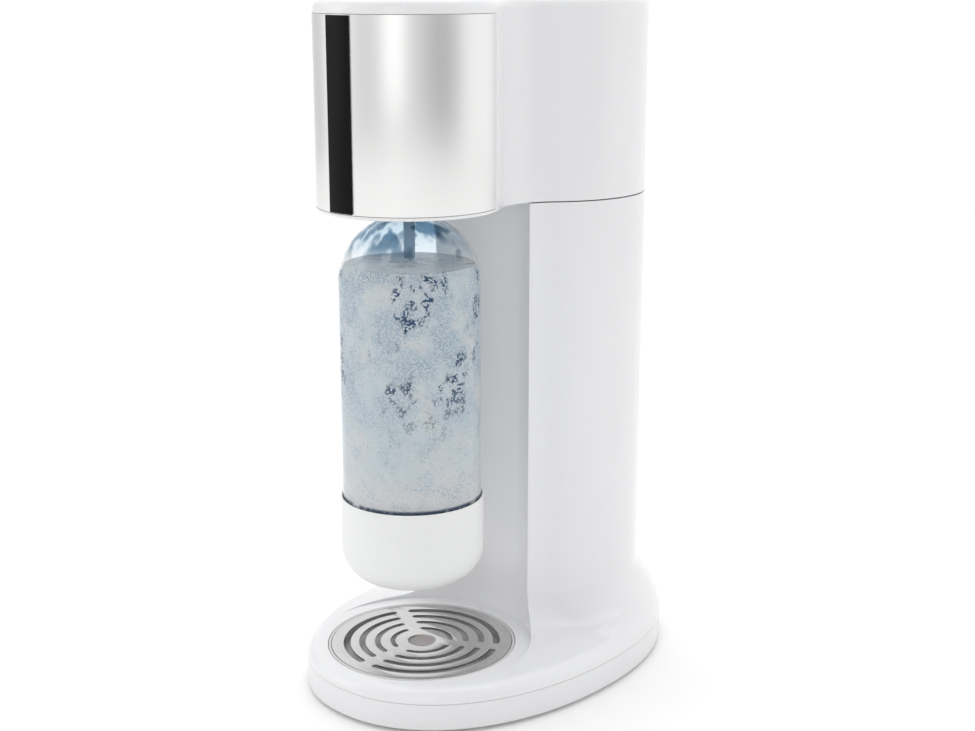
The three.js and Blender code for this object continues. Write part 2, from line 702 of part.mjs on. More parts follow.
const valveSeal = () => seal(3.2, 8.6, VALVE_TOP_Z + CLEAR, BLOCK_BOTTOM_Z + 3.1, 0, CYLINDER_Y);

function gasHose() {
  const start = PLATE_Z + 0.6;
  const bend = 8;
  const path = new THREE.CurvePath();
  const at = (y, z) => new THREE.Vector3(0, y, z);
  const end = CYLINDER_Y - BLOCK_HALF - 0.6;
  path.add(new THREE.LineCurve3(at(HOSE_BARB_Y, start), at(HOSE_BARB_Y, OUTLET_Z - bend)));
  path.add(
    new THREE.QuadraticBezierCurve3(
      at(HOSE_BARB_Y, OUTLET_Z - bend),
      at(HOSE_BARB_Y, OUTLET_Z),
      at(HOSE_BARB_Y + bend, OUTLET_Z),
    ),
  );
  path.add(new THREE.LineCurve3(at(HOSE_BARB_Y + bend, OUTLET_Z), at(end, OUTLET_Z)));
  const points = path.getSpacedPoints(48);
  const shape = new THREE.Shape();
  shape.absarc(0, 0, HOSE_RADIUS, 0, 2 * Math.PI);
  const hole = new THREE.Path();
  hole.absarc(0, 0, BARB_RADIUS + CLEAR, 0, 2 * Math.PI);
  shape.holes.push(hole);
  const extrudePath = new THREE.CatmullRomCurve3(points);
  return solidOf(new THREE.ExtrudeGeometry(shape, { steps: 20, extrudePath, curveSegments: 4 }));
}

// ---------------------------------------------------------------- carbonating side
const SEAL_TOP_Z = BOTTLE_MOUTH_Z + 3.3;
const NOZZLE_BLOCK_Z = SEAL_TOP_Z + CLEAR;
const NOZZLE_BLOCK_TOP_Z = PLATE_Z - CLEAR;
const RELIEF_RADIUS = 4.2;
const GALLERY_Z = NOZZLE_BLOCK_Z + 11;

function nozzleBlock() {
  const body = rod(22, NOZZLE_BLOCK_Z, NOZZLE_BLOCK_TOP_Z, 0, BOTTLE_Y, 28);
  const barb = rod(BARB_RADIUS, NOZZLE_BLOCK_TOP_Z - 1, PLATE_TOP_Z - 1, 0, HOSE_BARB_Y, 8);
  const tools = [
    rod(NOZZLE_RADIUS + CLEAR, NOZZLE_BLOCK_Z - 1, GALLERY_Z + 4, 0, BOTTLE_Y, 20),
    rod(0.8, GALLERY_Z, PLATE_TOP_Z + 2, 0, HOSE_BARB_Y, 8),
    rod(RELIEF_RADIUS, GALLERY_Z, NOZZLE_BLOCK_TOP_Z + 1, 0, RELIEF_Y, 20),
    crossRod(0.8, [0, HOSE_BARB_Y, GALLERY_Z], [0, RELIEF_Y, GALLERY_Z], 8),
    ...screwThread(NOZZLE_SCREW_PLACES, NOZZLE_BLOCK_TOP_Z - 12, NOZZLE_BLOCK_TOP_Z + 1),
  ];
  return cut(join(body, barb), ...tools);
}

const bottleSocket = () => {
  const inner = NECK_RADIUS + 0.8;
  const z0 = HEAD_BOTTOM_Z + 0.2;
  const profile = [
    [inner + 2, z0],
    [SOCKET_RADIUS, z0],
    [SOCKET_RADIUS, SEAL_TOP_Z],
    [inner, SEAL_TOP_Z],
    [inner, z0 + 2],
    [inner + 2, z0],
  ];
  return turned(profile, 0, BOTTLE_Y, 28);
};

const bottleSeal = () =>
  seal(NOZZLE_RADIUS + 1.55, NECK_RADIUS - 0.6, BOTTLE_MOUTH_Z + CLEAR, SEAL_TOP_Z, 0, BOTTLE_Y);

const nozzleTube = () => ring(1.6, NOZZLE_RADIUS, NOZZLE_TIP_Z, GALLERY_Z + 3, 0, BOTTLE_Y, 16);

const PLUNGER_Z = GALLERY_Z + 1.4;
const PLUNGER_LENGTH = 5;
const RELIEF_SPRING_TOP_Z = NOZZLE_BLOCK_TOP_Z - 3.5;

const reliefPlunger = () =>
  rod(RELIEF_RADIUS - CLEAR, PLUNGER_Z, PLUNGER_Z + PLUNGER_LENGTH, 0, RELIEF_Y, 16);

const reliefSpring = () =>
  coil(2.9, 0.45, 4, PLUNGER_Z + PLUNGER_LENGTH + CLEAR, RELIEF_SPRING_TOP_Z, 0, RELIEF_Y);

function reliefCap() {
  const z0 = RELIEF_SPRING_TOP_Z + CLEAR;
  const seat = PLATE_TOP_Z + CLEAR;
  const profile = [
    [1, z0],
    [RELIEF_CAP_RADIUS, z0],
    [RELIEF_CAP_RADIUS, seat],
    [6.5, seat],
    [6.5, seat + 3],
    [5.5, seat + 4],
    [1, seat + 4],
    [1, z0],
  ];
  return turned(profile, 0, RELIEF_Y, 18);
}

// ---------------------------------------------------------------- bottle
const NECK_Z = BOTTLE_MOUTH_Z - 33;
const BOTTLE_CORNER = 20;
const BOTTLE_SEGMENTS = 28;

// Half-outline of the bottle from its bottom up, drawn inwards by an inset.
function bottleProfile(inset) {
  const r = BOTTLE_RADIUS - inset;
  const neck = NECK_RADIUS - inset;
  const low = BOTTLE_BOTTOM_Z + inset;
  const round = BOTTLE_CORNER - inset;
  const points = [[0, low], [r - round, low]];
  for (let i = 1; i <= 3; i++) {
    const turn = (i / 3) * (Math.PI / 2);
    points.push([r - round + round * Math.sin(turn), low + round * (1 - Math.cos(turn))]);
  }
  const height = NECK_Z - BOTTLE_SHOULDER_Z - inset;
  points.push([r, BOTTLE_SHOULDER_Z]);
  const lean = Math.acos(neck / r); // the shoulder's quarter ellipse stops at the neck
  for (let i = 1; i <= 5; i++) {
    const turn = (i / 5) * lean;
    const rise = (height * Math.sin(turn)) / Math.sin(lean);
    points.push([r * Math.cos(turn), BOTTLE_SHOULDER_Z + rise]);
  }
  return points;
}

function bottle() {
  const outer = [...bottleProfile(0), [NECK_RADIUS, BOTTLE_MOUTH_Z]];
  const bore = NECK_RADIUS - BOTTLE_WALL;
  const inner = [...bottleProfile(BOTTLE_WALL), [bore, BOTTLE_MOUTH_Z]].reverse();
  return turned([...outer, ...inner], 0, BOTTLE_Y, BOTTLE_SEGMENTS);
}

// Coloured cup that the bottle's lower end stands in.
function bottleCup() {
  const r = CUP_RADIUS;
  const round = 22;
  const low = BOTTLE_BOTTOM_Z - CLEAR - CUP_WALL;
  const arc = (radius, corner, z) =>
    [0, 1, 2, 3].map((i) => {
      const turn = (i / 3) * (Math.PI / 2);
      return [radius - corner + corner * Math.sin(turn), z + corner * (1 - Math.cos(turn))];
    });
  const dimple = 0.3;
  const outer = [
    [0, low + dimple],
    [r - round - 6, low + dimple],
    ...arc(r, round, low),
    [r, CUP_TOP_Z],
  ];
  const inside = BOTTLE_RADIUS + CLEAR;
  const floor = BOTTLE_BOTTOM_Z - CLEAR;
  const inner = [[inside, CUP_TOP_Z], ...arc(inside, BOTTLE_CORNER, floor).reverse(), [0, floor]];
  return turned([...outer, ...inner], 0, BOTTLE_Y, BOTTLE_SEGMENTS);
}

function water() {
  const profile = bottleProfile(BOTTLE_WALL + CLEAR).filter(([, z]) => z < WATER_Z - 1);
  const [r1, z1] = profile.at(-1);
  const next = bottleProfile(BOTTLE_WALL + CLEAR)[profile.length];
  const share = (WATER_Z - z1) / (next[1] - z1);
  profile.push([mix(r1, next[0], share), WATER_Z], [0, WATER_Z]);
  return turned(profile, 0, BOTTLE_Y, BOTTLE_SEGMENTS);
}

// ---------------------------------------------------------------- drip tray and grate
const TRAY_LIP = 1.6;

function dripTray() {
  const r = TRAY_RADIUS;
  const z0 = TRAY_SEAT_Z;
  const grateUnder = DECK_Z - GRATE_THICKNESS - CLEAR;
  const profile = [
    [0, z0],
    [r - 4, z0],
    [r, z0 + 4],
    [r, DECK_Z],
    [r - TRAY_LIP, DECK_Z],
    [r - TRAY_LIP, grateUnder],
    [r - TRAY_LIP - 1.6, grateUnder],
    [r - TRAY_LIP - 1.6, z0 + 4.6],
    [r - 5.6, z0 + 2],
    [4, z0 + 2],
    [4, grateUnder],
    [0, grateUnder],
  ];
  return turned(profile, 0, TRAY_Y, 36);
}

const SLOT_RINGS = 4;
const SLOT_INNER = { radius: 18.6, width: 3 };
const SLOT_OUTER = { radius: GRATE_RADIUS - 9.9, width: 4.4 };
const SPOKES = 3;
const SPOKE_WIDTH = 8;

function grateSlot(radius, width, spoke) {
  const clear = Math.asin(SPOKE_WIDTH / 2 / radius);
  const from = spoke + clear;
  const to = spoke + (2 * Math.PI) / SPOKES - clear;
  const slot = new THREE.Path();
  slot.absarc(0, TRAY_Y, radius + width / 2, from, to, false);
  slot.absarc(0, TRAY_Y, radius - width / 2, to, from, true);
  return slot;
}

function dripGrate() {
  const rim = new THREE.Path().absarc(0, TRAY_Y, GRATE_RADIUS, 0, 2 * Math.PI);
  const shape = new THREE.Shape(rim.getPoints(20).slice(1));
  for (let k = 0; k < SLOT_RINGS; k++) {
    const share = k / (SLOT_RINGS - 1);
    const radius = mix(SLOT_INNER.radius, SLOT_OUTER.radius, share);
    const width = mix(SLOT_INNER.width, SLOT_OUTER.width, share);
    for (let i = 0; i < SPOKES; i++)
      shape.holes.push(grateSlot(radius, width, -Math.PI / 2 + (i * 2 * Math.PI) / SPOKES));
  }
  return prism(shape, DECK_Z - GRATE_THICKNESS, DECK_Z, 4);
}

// ---------------------------------------------------------------- assembly
const finish = (color, roughness, metalness = 0) => ({ color, roughness, metalness });
const WHITE = finish(0xeef0f2, 0.25);
const STEEL = finish(0xc4c7c9, 0.3, 1);
const BRASS = finish(0xb08d4a, 0.35, 1);
const BLACK = finish(0x0b0b0d, 0.15);
const RUBBER = finish(0x222326, 0.85);
const GREY = finish(0x8d9194, 0.55);
const CLEAR_PLASTIC = finish(0xdfe8ee, 0.05);
const MILKY = finish(0xe9edf0, 0.35);
const WATER = finish(0x9fc0d6, 0.05);
const ZINC = finish(0x9a9ea2, 0.4, 1);

const group = new THREE.Group();
group.name = "soda_carbonator";

function place(name, solid, { color, roughness, metalness }) {
  const material = new THREE.MeshStandardMaterial({ color, roughness, metalness });
  const mesh = new THREE.Mesh(geometryOf(solid), material);
  mesh.name = name;
  group.add(mesh);
}

function placeEach(stem, places, make, look) {
  for (const [where, at] of Object.entries(places)) place(`${stem}_${where}`, make(at), look);
}

const walls = bodyWalls();
place("base_pan", basePan(), WHITE);
placeEach("foot", FOOT_PLACES, foot, RUBBER);
placeEach("base_screw", BASE_SCREW_PLACES, (at) => screwUp(at, FEET_HEIGHT, 14), ZINC);
place("body_shell", bodyShell(walls), WHITE);
place("rear_cover", rearCover(walls), WHITE);
place("inner_frame", innerFrame(), GREY);
placeEach("frame_screw", FRAME_SCREW_PLACES, (at) => screwDown(at, FOOT_PLATE_TOP_Z, 16), ZINC);
place("head_shell", headShell(), WHITE);
placeEach("head_screw", HEAD_SCREW_PLACES, (at) => screwDown(at, PLATE_TOP_Z, 22), ZINC);
place("steel_sleeve", steelSleeve(), STEEL);
place("gloss_stripe", glossStripe(), BLACK);
place("top_cover", topCover(), WHITE);
place("push_button", pushButton(), WHITE);
placeEach("button_spring", SPRING_PLACES, buttonSpring, ZINC);
place("lever", lever(), GREY);
place("lever_pin", leverPin(), ZINC);
place("actuator_pin", actuatorPin(), BRASS);
place("valve_block", valveBlock(), BRASS);
place("valve_seal", valveSeal(), RUBBER);
placeEach("valve_screw", VALVE_SCREW_PLACES, (at) => screwDown(at, SHELF_TOP_Z, 28), ZINC);
place("cylinder_seat", cylinderSeat(), BRASS);
place("gas_cylinder", gasCylinder(), STEEL);
place("cylinder_valve", cylinderValve(), BRASS);
place("cylinder_stem", cylinderStem(), BRASS);
place("gas_hose", gasHose(), RUBBER);
place("nozzle_block", nozzleBlock(), GREY);
placeEach("nozzle_screw", NOZZLE_SCREW_PLACES, (at) => screwDown(at, PLATE_TOP_Z, 14), ZINC);
place("bottle_socket", bottleSocket(), GREY);
place("bottle_seal", bottleSeal(), RUBBER);
place("nozzle_tube", nozzleTube(), GREY);
place("relief_plunger", reliefPlunger(), BRASS);
place("relief_spring", reliefSpring(), ZINC);
place("relief_cap", reliefCap(), BRASS);
place("bottle", bottle(), CLEAR_PLASTIC);
place("bottle_cup", bottleCup(), MILKY);
place("water", water(), WATER);
place("drip_tray", dripTray(), MILKY);
place("drip_grate", dripGrate(), STEEL);

export default group;
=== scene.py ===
"""Soda carbonator: the looks of a worktop machine that carbonates a screwed-in bottle of water.

Shapes are worked out in millimetres, as on the drawing, and meshes are made in metres.
"""

import json

import bmesh
import bpy
import numpy as np
from math import acos, asin, cos, pi, radians, sin, sqrt
from mathutils import Matrix, Vector
from mathutils.geometry import tessellate_polygon


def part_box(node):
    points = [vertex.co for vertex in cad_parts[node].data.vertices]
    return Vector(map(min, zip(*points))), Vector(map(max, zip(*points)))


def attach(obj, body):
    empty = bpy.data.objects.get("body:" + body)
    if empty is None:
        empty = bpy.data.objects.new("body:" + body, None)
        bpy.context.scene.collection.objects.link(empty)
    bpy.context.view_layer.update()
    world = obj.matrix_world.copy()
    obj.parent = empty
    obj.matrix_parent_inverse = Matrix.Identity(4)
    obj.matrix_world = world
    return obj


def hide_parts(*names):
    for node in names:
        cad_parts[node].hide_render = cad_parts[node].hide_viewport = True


bl_info = {
    "name": "Soda carbonator",
    "version": (1, 0, 0),
    "blender": (4, 5, 0),
    "location": "3D View > Sidebar > Carbonator",
    "description": "Builds a worktop soda carbonator with its bottle, tray and gas cylinder",
    "category": "Object",
}

MM = 0.001
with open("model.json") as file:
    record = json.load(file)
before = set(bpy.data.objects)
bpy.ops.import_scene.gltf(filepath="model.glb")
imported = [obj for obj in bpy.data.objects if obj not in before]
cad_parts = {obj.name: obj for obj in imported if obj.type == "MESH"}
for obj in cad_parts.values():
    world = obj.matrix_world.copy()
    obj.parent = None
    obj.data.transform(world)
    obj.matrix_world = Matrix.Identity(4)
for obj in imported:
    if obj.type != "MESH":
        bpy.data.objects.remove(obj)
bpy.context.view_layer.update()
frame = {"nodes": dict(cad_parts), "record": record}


# ---- sizes taken from the frame
def span(node):
    """Lowest and highest corner of a CAD node, in millimetres."""
    low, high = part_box(node)
    return np.array(low) / MM, np.array(high) / MM


def middle_y(node):
    low, high = span(node)
    return (low[1] + high[1]) / 2


def half_width(node):
    low, high = span(node)
    return (high[0] - low[0]) / 2


PAN_LOW, PAN_HIGH = span("base_pan")
HEAD_LOW, HEAD_HIGH = span("head_shell")
BOTTLE_LOW, BOTTLE_HIGH = span("bottle")
CUP_LOW, CUP_HIGH = span("bottle_cup")
TRAY_LOW, TRAY_HIGH = span("drip_tray")
SLEEVE_LOW, SLEEVE_HIGH = span("steel_sleeve")
BUTTON_LOW, BUTTON_HIGH = span("push_button")
LID_LOW, LID_HIGH = span("top_cover")
CYLINDER_LOW, CYLINDER_HIGH = span("gas_cylinder")
BOTTLE_Y = middle_y("bottle")
TRAY_Y = middle_y("drip_tray")
DRUM_RADIUS = half_width("steel_sleeve")
REAR_RADIUS = round(half_width("head_shell"))
REAR_Y = HEAD_HIGH[1] - REAR_RADIUS
DECK_Z = TRAY_HIGH[2]
HEAD_SEAM_Z = span("body_shell")[1][2]


# ---- sizes and colours to change
def length(name, description, default):
    return bpy.props.FloatProperty(name=name, description=description + ", mm", default=default)


def half_arc(name, description, degrees):
    kind = bpy.props.FloatProperty
    return kind(name=name, description=description, subtype="ANGLE", default=radians(degrees))


def colour(name, description, default):
    kind = bpy.props.FloatVectorProperty
    return kind(name=name, description=description, subtype="COLOR", default=default)


class CarbonatorSizes(bpy.types.PropertyGroup):
    wall: length("Wall", "Wall of the base and column", 2.5)
    head_wall: length("Head wall", "Wall of the head", 3.2)
    waist_fillet: length("Waist fillet", "Hollow radius between the two drums", 40.0)
    flare_top: length("Flare top", "Height where the column stands upright", 58.0)
    base_seam: length("Base seam", "Height of the base seam", 19.5)
    bay_radius: length("Bay radius", "Hollow behind the bottle", 70.5)
    cover_angle: half_arc("Cover angle", "Half of the rear cover's arc", 47)
    band_angle: half_arc("Sleeve angle", "Half of the steel sleeve's arc", 113)
    spoke_width: length("Spoke", "Width of the grate's spokes", 8.0)
    bubble_count: bpy.props.IntProperty(name="Bubbles", description="Bubbles in the water", default=2200)


class CarbonatorColours(bpy.types.PropertyGroup):
    white: colour("White plastic", "Colour of the casing", (0.80, 0.803, 0.815))
    steel: colour("Steel", "Colour of sleeve and grate", (0.83, 0.825, 0.82))
    cup: colour("Cup", "Colour of the bottle's cup", (0.80, 0.805, 0.81))
    water: colour("Water", "Tint of the fizzy water", (0.86, 0.95, 1.0))
    deep: colour("Deep water", "Dark flecks in the water", (0.04, 0.10, 0.22))


def sizes():
    return bpy.context.scene.carbonator_sizes


def colours():
    return bpy.context.scene.carbonator_colours


# ---- outlines seen from above
BASE_HALF_WIDTH = PAN_HIGH[0]
BASE_HALF_DEPTH = PAN_HIGH[1]
BASE_EXPONENT = 2.15


def base_radius(angle, inset=0.0):
    """Radius of the base by angle from the front."""
    n = BASE_EXPONENT
    across = np.abs(np.sin(angle)) / (BASE_HALF_WIDTH - inset)
    along = np.abs(np.cos(angle)) / (BASE_HALF_DEPTH - inset)
    return (across**n + along**n) ** (-1 / n)


def fillet_centre(fillet):
    a = DRUM_RADIUS + fillet
    b = REAR_RADIUS + fillet
    y = (a * a - b * b + REAR_Y**2 - BOTTLE_Y**2) / (2 * (REAR_Y - BOTTLE_Y))
    return sqrt(a * a - (y - BOTTLE_Y) ** 2), y


def drums_radius(angle, front_radius, front_y, inset):
    """Radius of two drums joined by hollow fillets, by angle from the front."""
    fillet = sizes().waist_fillet
    waist_x, waist_y = fillet_centre(fillet)
    x = np.abs(np.sin(angle))
    y = -np.cos(angle)
    around = np.arctan2(x, -y)

    def touch(radius, centre_y):
        share = (radius - inset) / (radius + fillet)
        return np.arctan2(waist_x * share, -(centre_y + (waist_y - centre_y) * share))

    def hit(cx, cy, radius, side):
        along = x * cx + y * cy
        return along + side * np.sqrt(np.maximum(along**2 - cx * cx - cy * cy + radius**2, 0))

    front = hit(0, front_y, front_radius - inset, 1)
    hollow = hit(waist_x, waist_y, fillet + inset, -1)
    rear = hit(0, REAR_Y, REAR_RADIUS - inset, 1)
    first = around < touch(front_radius, front_y)
    second = around < touch(REAR_RADIUS, REAR_Y)
    return np.where(first, front, np.where(second, hollow, rear))


def column_radius(angle, inset=0.0):
    fillet = sizes().waist_fillet
    waist_x, waist_y = fillet_centre(fillet)
    return drums_radius(angle, waist_x - fillet, waist_y, inset)


def head_radius(angle, inset=0.0):
    return drums_radius(angle, DRUM_RADIUS, BOTTLE_Y, inset)


def mix(a, b, t):
    return a + (b - a) * t


def flare_section(run, t):
    """Inset and height of the base's sweep, from its seam (t = 0) up to the column (t = 1)."""
    s = sizes()
    rise = s.flare_top - s.base_seam
    edge = 10
    fillet = 28
    edge_height = DECK_Z - 0.4 - s.base_seam
    deck_height = DECK_Z + 2 - s.base_seam
    if t < 0.4:
        turn = t / 0.4 * pi / 2
        wide = (edge * (1 - cos(turn)) + 0 * run, edge_height * sin(turn))
    elif t < 0.5:
        along = (t - 0.4) / 0.1
        wide = (mix(edge, run - fillet, along), mix(edge_height, deck_height, along))
    else:
        turn = (t - 0.5) / 0.5 * pi / 2
        wide = (run - fillet + fillet * sin(turn), deck_height + (rise - deck_height) * (1 - cos(turn)))
    u = 1 - t
    curve = 3 * 0.58 * t * u * u + 3 * 0.71 * t * t * u + t**3
    narrow = (run * (3 * t * t - 2 * t**3), rise * curve)
    share = np.clip((run - 20) / 32, 0, 1)
    share = share * share * (3 - 2 * share)
    return mix(narrow[0], wide[0], share), s.base_seam + mix(narrow[1], wide[1], share)


# ---- mesh helpers
def new_piece(name, vertices, faces):
    """Mesh object in metres from points in millimetres."""
    mesh = bpy.data.meshes.new(name)
    mesh.from_pydata([tuple(c * MM for c in v) for v in vertices], [], faces)
    mesh.validate()
    piece = bpy.data.objects.new(name, mesh)
    bpy.context.scene.collection.objects.link(piece)
    return piece


def face_outwards(piece):
    work = bmesh.new()
    work.from_mesh(piece.data)
    bmesh.ops.remove_doubles(work, verts=work.verts, dist=1e-6)
    bmesh.ops.recalc_face_normals(work, faces=work.faces)
    work.to_mesh(piece.data)
    work.free()
    return piece


def ring_faces(a, b, count):
    return [(a + i, a + (i + 1) % count, b + (i + 1) % count, b + i) for i in range(count)]


def skin(name, rings, ends="caps"):
    """Closed skin through rings of points. Its ends are capped, or joined into a loop."""
    count = len(rings[0])
    vertices = [tuple(p) for ring in rings for p in ring]
    faces = []
    for k in range(len(rings) - 1):
        faces += ring_faces(k * count, (k + 1) * count, count)
    last = (len(rings) - 1) * count
    if ends == "loop":
        faces += ring_faces(last, 0, count)
    else:
        faces.append(tuple(reversed(range(count))))
        faces.append(tuple(range(last, last + count)))
    return face_outwards(new_piece(name, vertices, faces))


def polar_ring(radius, angles, z):
    z = z + 0 * angles
    return np.stack([radius * np.sin(angles), -radius * np.cos(angles), z], axis=1)


def turned(name, profile, y, segments=96, x=0.0):
    """Solid of a [radius, z] profile about an upright axis. It starts and ends on the axis, or closes."""
    vertices = []
    starts = []
    for radius, z in profile:
        starts.append(len(vertices))
        if radius < 1e-6:
            vertices.append((x, y, z))
            continue
        for i in range(segments):
            angle = 2 * pi * i / segments
            vertices.append((x + radius * cos(angle), y + radius * sin(angle), z))
    faces = []
    closed = profile[0][0] > 1e-6
    pairs = list(zip(range(len(profile)), range(1, len(profile))))
    if closed:
        pairs.append((len(profile) - 1, 0))
    for k, m in pairs:
        a, b = starts[k], starts[m]
        for i in range(segments):
            j = (i + 1) % segments
            if profile[k][0] < 1e-6:
                faces.append((a, b + j, b + i))
            elif profile[m][0] < 1e-6:
                faces.append((a + i, a + j, b))
            else:
                faces.append((a + i, a + j, b + j, b + i))
    return face_outwards(new_piece(name, vertices, faces))


def rounded(profile, radius, steps=4, closed=False):
    """The same outline with its corners rounded. A point may carry its own radius as a third value."""
    out = []
    count = len(profile)
    for i, point in enumerate(profile):
        if not closed and i in (0, count - 1):
            out.append(tuple(point[:2]))
            continue
        here = np.array(point[:2], float)
        before = np.array(profile[i - 1][:2], float) - here
        after = np.array(profile[(i + 1) % count][:2], float) - here
        wanted = point[2] if len(point) > 2 else radius
        reach = min(wanted, 0.45 * np.linalg.norm(before), 0.45 * np.linalg.norm(after))
        if reach < 0.02:
            out.append(tuple(here))
            continue
        a = here + before / np.linalg.norm(before) * reach
        b = here + after / np.linalg.norm(after) * reach
        for k in range(steps + 1):
            t = k / steps
            out.append(tuple(a * (1 - t) ** 2 + 2 * here * t * (1 - t) + b * t * t))
    return out


def carve(piece, tool, operation="DIFFERENCE"):
    """Cuts or joins a tool, which is used up."""
    change = piece.modifiers.new("carve", "BOOLEAN")
    change.object = tool
    change.operation = operation
    change.solver = "EXACT"
    bake(piece)
    bpy.data.objects.remove(tool)
    return piece


def bake(piece):
    """Turns the piece's modifiers into its mesh."""
    bpy.context.view_layer.update()
    graph = bpy.context.evaluated_depsgraph_get()
    mesh = bpy.data.meshes.new_from_object(piece.evaluated_get(graph))
    piece.modifiers.clear()
    piece.data = mesh
    return piece


def copy_of(piece, name):
    twin = bpy.data.objects.new(name, piece.data.copy())
    bpy.context.scene.collection.objects.link(twin)
    return twin


def soften(piece, width, segments=2, angle=40):
    """Small round on every sharp edge."""
    bevel = piece.modifiers.new("round", "BEVEL")
    bevel.width = width * MM
    bevel.segments = segments
    bevel.limit_method = "ANGLE"
    bevel.angle_limit = radians(angle)
    return bake(piece)


def smooth(piece, angle=32):
    piece.data.polygons.foreach_set("use_smooth", [True] * len(piece.data.polygons))
    piece.data.set_sharp_from_angle(angle=radians(angle))
    return piece


def finish_piece(piece, look, body, slot, *nodes, angle=32):
    """Gives a piece its material and the CAD body that it moves with, and hides the nodes that it stands
    for.
    """
    piece.data.materials.clear()
    piece.data.materials.append(look)
    smooth(piece, angle)
    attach(piece, body)
    if nodes:
        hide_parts(*nodes)
    return piece


# ---- materials
def principled(name, colour, roughness, metallic=0.0, **sockets):
    look = bpy.data.materials.new(name)
    look.use_nodes = True
    shader = look.node_tree.nodes["Principled BSDF"]
    shader.inputs["Base Color"].default_value = (*colour, 1)
    shader.inputs["Roughness"].default_value = roughness
    shader.inputs["Metallic"].default_value = metallic
    for socket, value in sockets.items():
        shader.inputs[socket.replace("_", " ")].default_value = value
    return look, shader


def add_node(look, kind, **values):
    node = look.node_tree.nodes.new(kind)
    for key, value in values.items():
        if key in node.inputs:
            node.inputs[key].default_value = value
        else:
            setattr(node, key, value)
    return node


def object_place(look):
    """Where a point lies on the object, in metres."""
    return add_node(look, "ShaderNodeTexCoord").outputs["Object"]


def object_height(look):
    parts = add_node(look, "ShaderNodeSeparateXYZ")
    look.node_tree.links.new(object_place(look), parts.inputs["Vector"])
    return parts.outputs["Z"]


def noise(look, scale, stretch=(1, 1, 1), centre=(0, 0, 0), detail=3.0):
    """Noise on object coordinates, in metres, stretched along the given axes."""
    link = look.node_tree.links.new
    turn = add_node(look, "ShaderNodeMapping")
    turn.inputs["Location"].default_value = tuple(-c * s for c, s in zip(centre, stretch))
    turn.inputs["Scale"].default_value = stretch
    field = add_node(look, "ShaderNodeTexNoise", Scale=scale, Detail=detail)
    link(object_place(look), turn.inputs["Vector"])
    link(turn.outputs["Vector"], field.inputs["Vector"])
    return field.outputs["Fac"]


def spread(look, value, low, high):
    ramp = add_node(look, "ShaderNodeMapRange", **{"To Min": low, "To Max": high})
    look.node_tree.links.new(value, ramp.inputs["Value"])
    return ramp.outputs["Result"]


def blend_colours(look, value, first, second):
    node = add_node(look, "ShaderNodeMix", data_type="RGBA")
    node.inputs[6].default_value = (*first, 1)
    node.inputs[7].default_value = (*second, 1)
    look.node_tree.links.new(value, node.inputs[0])
    return node.outputs[2]


def step(look, value, low, high, start=0.0, end=1.0):
    """Smooth step from start at low to end at high."""
    ends = {"From Min": low, "From Max": high, "To Min": start, "To Max": end}
    node = add_node(look, "ShaderNodeMapRange", interpolation_type="SMOOTHSTEP", **ends)
    look.node_tree.links.new(value, node.inputs["Value"])
    return node.outputs["Result"]


def times(look, first, second):
    node = add_node(look, "ShaderNodeMath", operation="MULTIPLY")
    look.node_tree.links.new(first, node.inputs[0])
    look.node_tree.links.new(second, node.inputs[1])
    return node.outputs[0]


def cells(look, where, scale):
    node = add_node(look, "ShaderNodeTexVoronoi", Scale=scale, feature="SMOOTH_F1", Smoothness=0.3)
    look.node_tree.links.new(where, node.inputs["Vector"])
    return node.outputs["Distance"]


def tint_over(look, under, amount, colour):
    node = add_node(look, "ShaderNodeMix", data_type="RGBA")
    node.inputs[7].default_value = (*colour, 1)
    look.node_tree.links.new(amount, node.inputs[0])
    look.node_tree.links.new(under, node.inputs[6])
    return node.outputs[2]


def bump(look, shader, height, strength, distance):
    node = add_node(look, "ShaderNodeBump", Strength=strength, Distance=distance)
    look.node_tree.links.new(height, node.inputs["Height"])
    look.node_tree.links.new(node.outputs["Normal"], shader.inputs["Normal"])


def shade(colour, factor):
    return tuple(min(1.0, c * factor) for c in colour)


def moulded(name, colour, roughness, grain=0.00002, coat=0.0):
    """Moulded plastic: slight unevenness in colour and gloss, and a very fine ripple."""
    look, shader = principled(name, colour, roughness, IOR=1.5, Coat_Weight=coat, Coat_Roughness=0.08)
    link = look.node_tree.links.new
    cloud = noise(look, 14, detail=4)
    link(blend_colours(look, cloud, shade(colour, 0.975), shade(colour, 1.015)), shader.inputs["Base Color"])
    link(spread(look, noise(look, 60), roughness * 0.82, roughness * 1.2), shader.inputs["Roughness"])
    bump(look, shader, noise(look, 1600, detail=2), 0.25, grain)
    return look


def brushed(name, colour, roughness, stretch, centre=(0, 0, 0), anisotropy=0.6):
    """Brushed steel, with its lines along the directions that the stretch leaves long."""
    look, shader = principled(name, colour, roughness, 1.0, Anisotropic=anisotropy)
    link = look.node_tree.links.new
    lines = noise(look, 1, stretch, centre, detail=5)
    link(blend_colours(look, lines, shade(colour, 0.985), shade(colour, 1.01)), shader.inputs["Base Color"])
    link(spread(look, lines, roughness * 0.94, roughness * 1.06), shader.inputs["Roughness"])
    bump(look, shader, lines, 0.02, 0.00001)
    return look


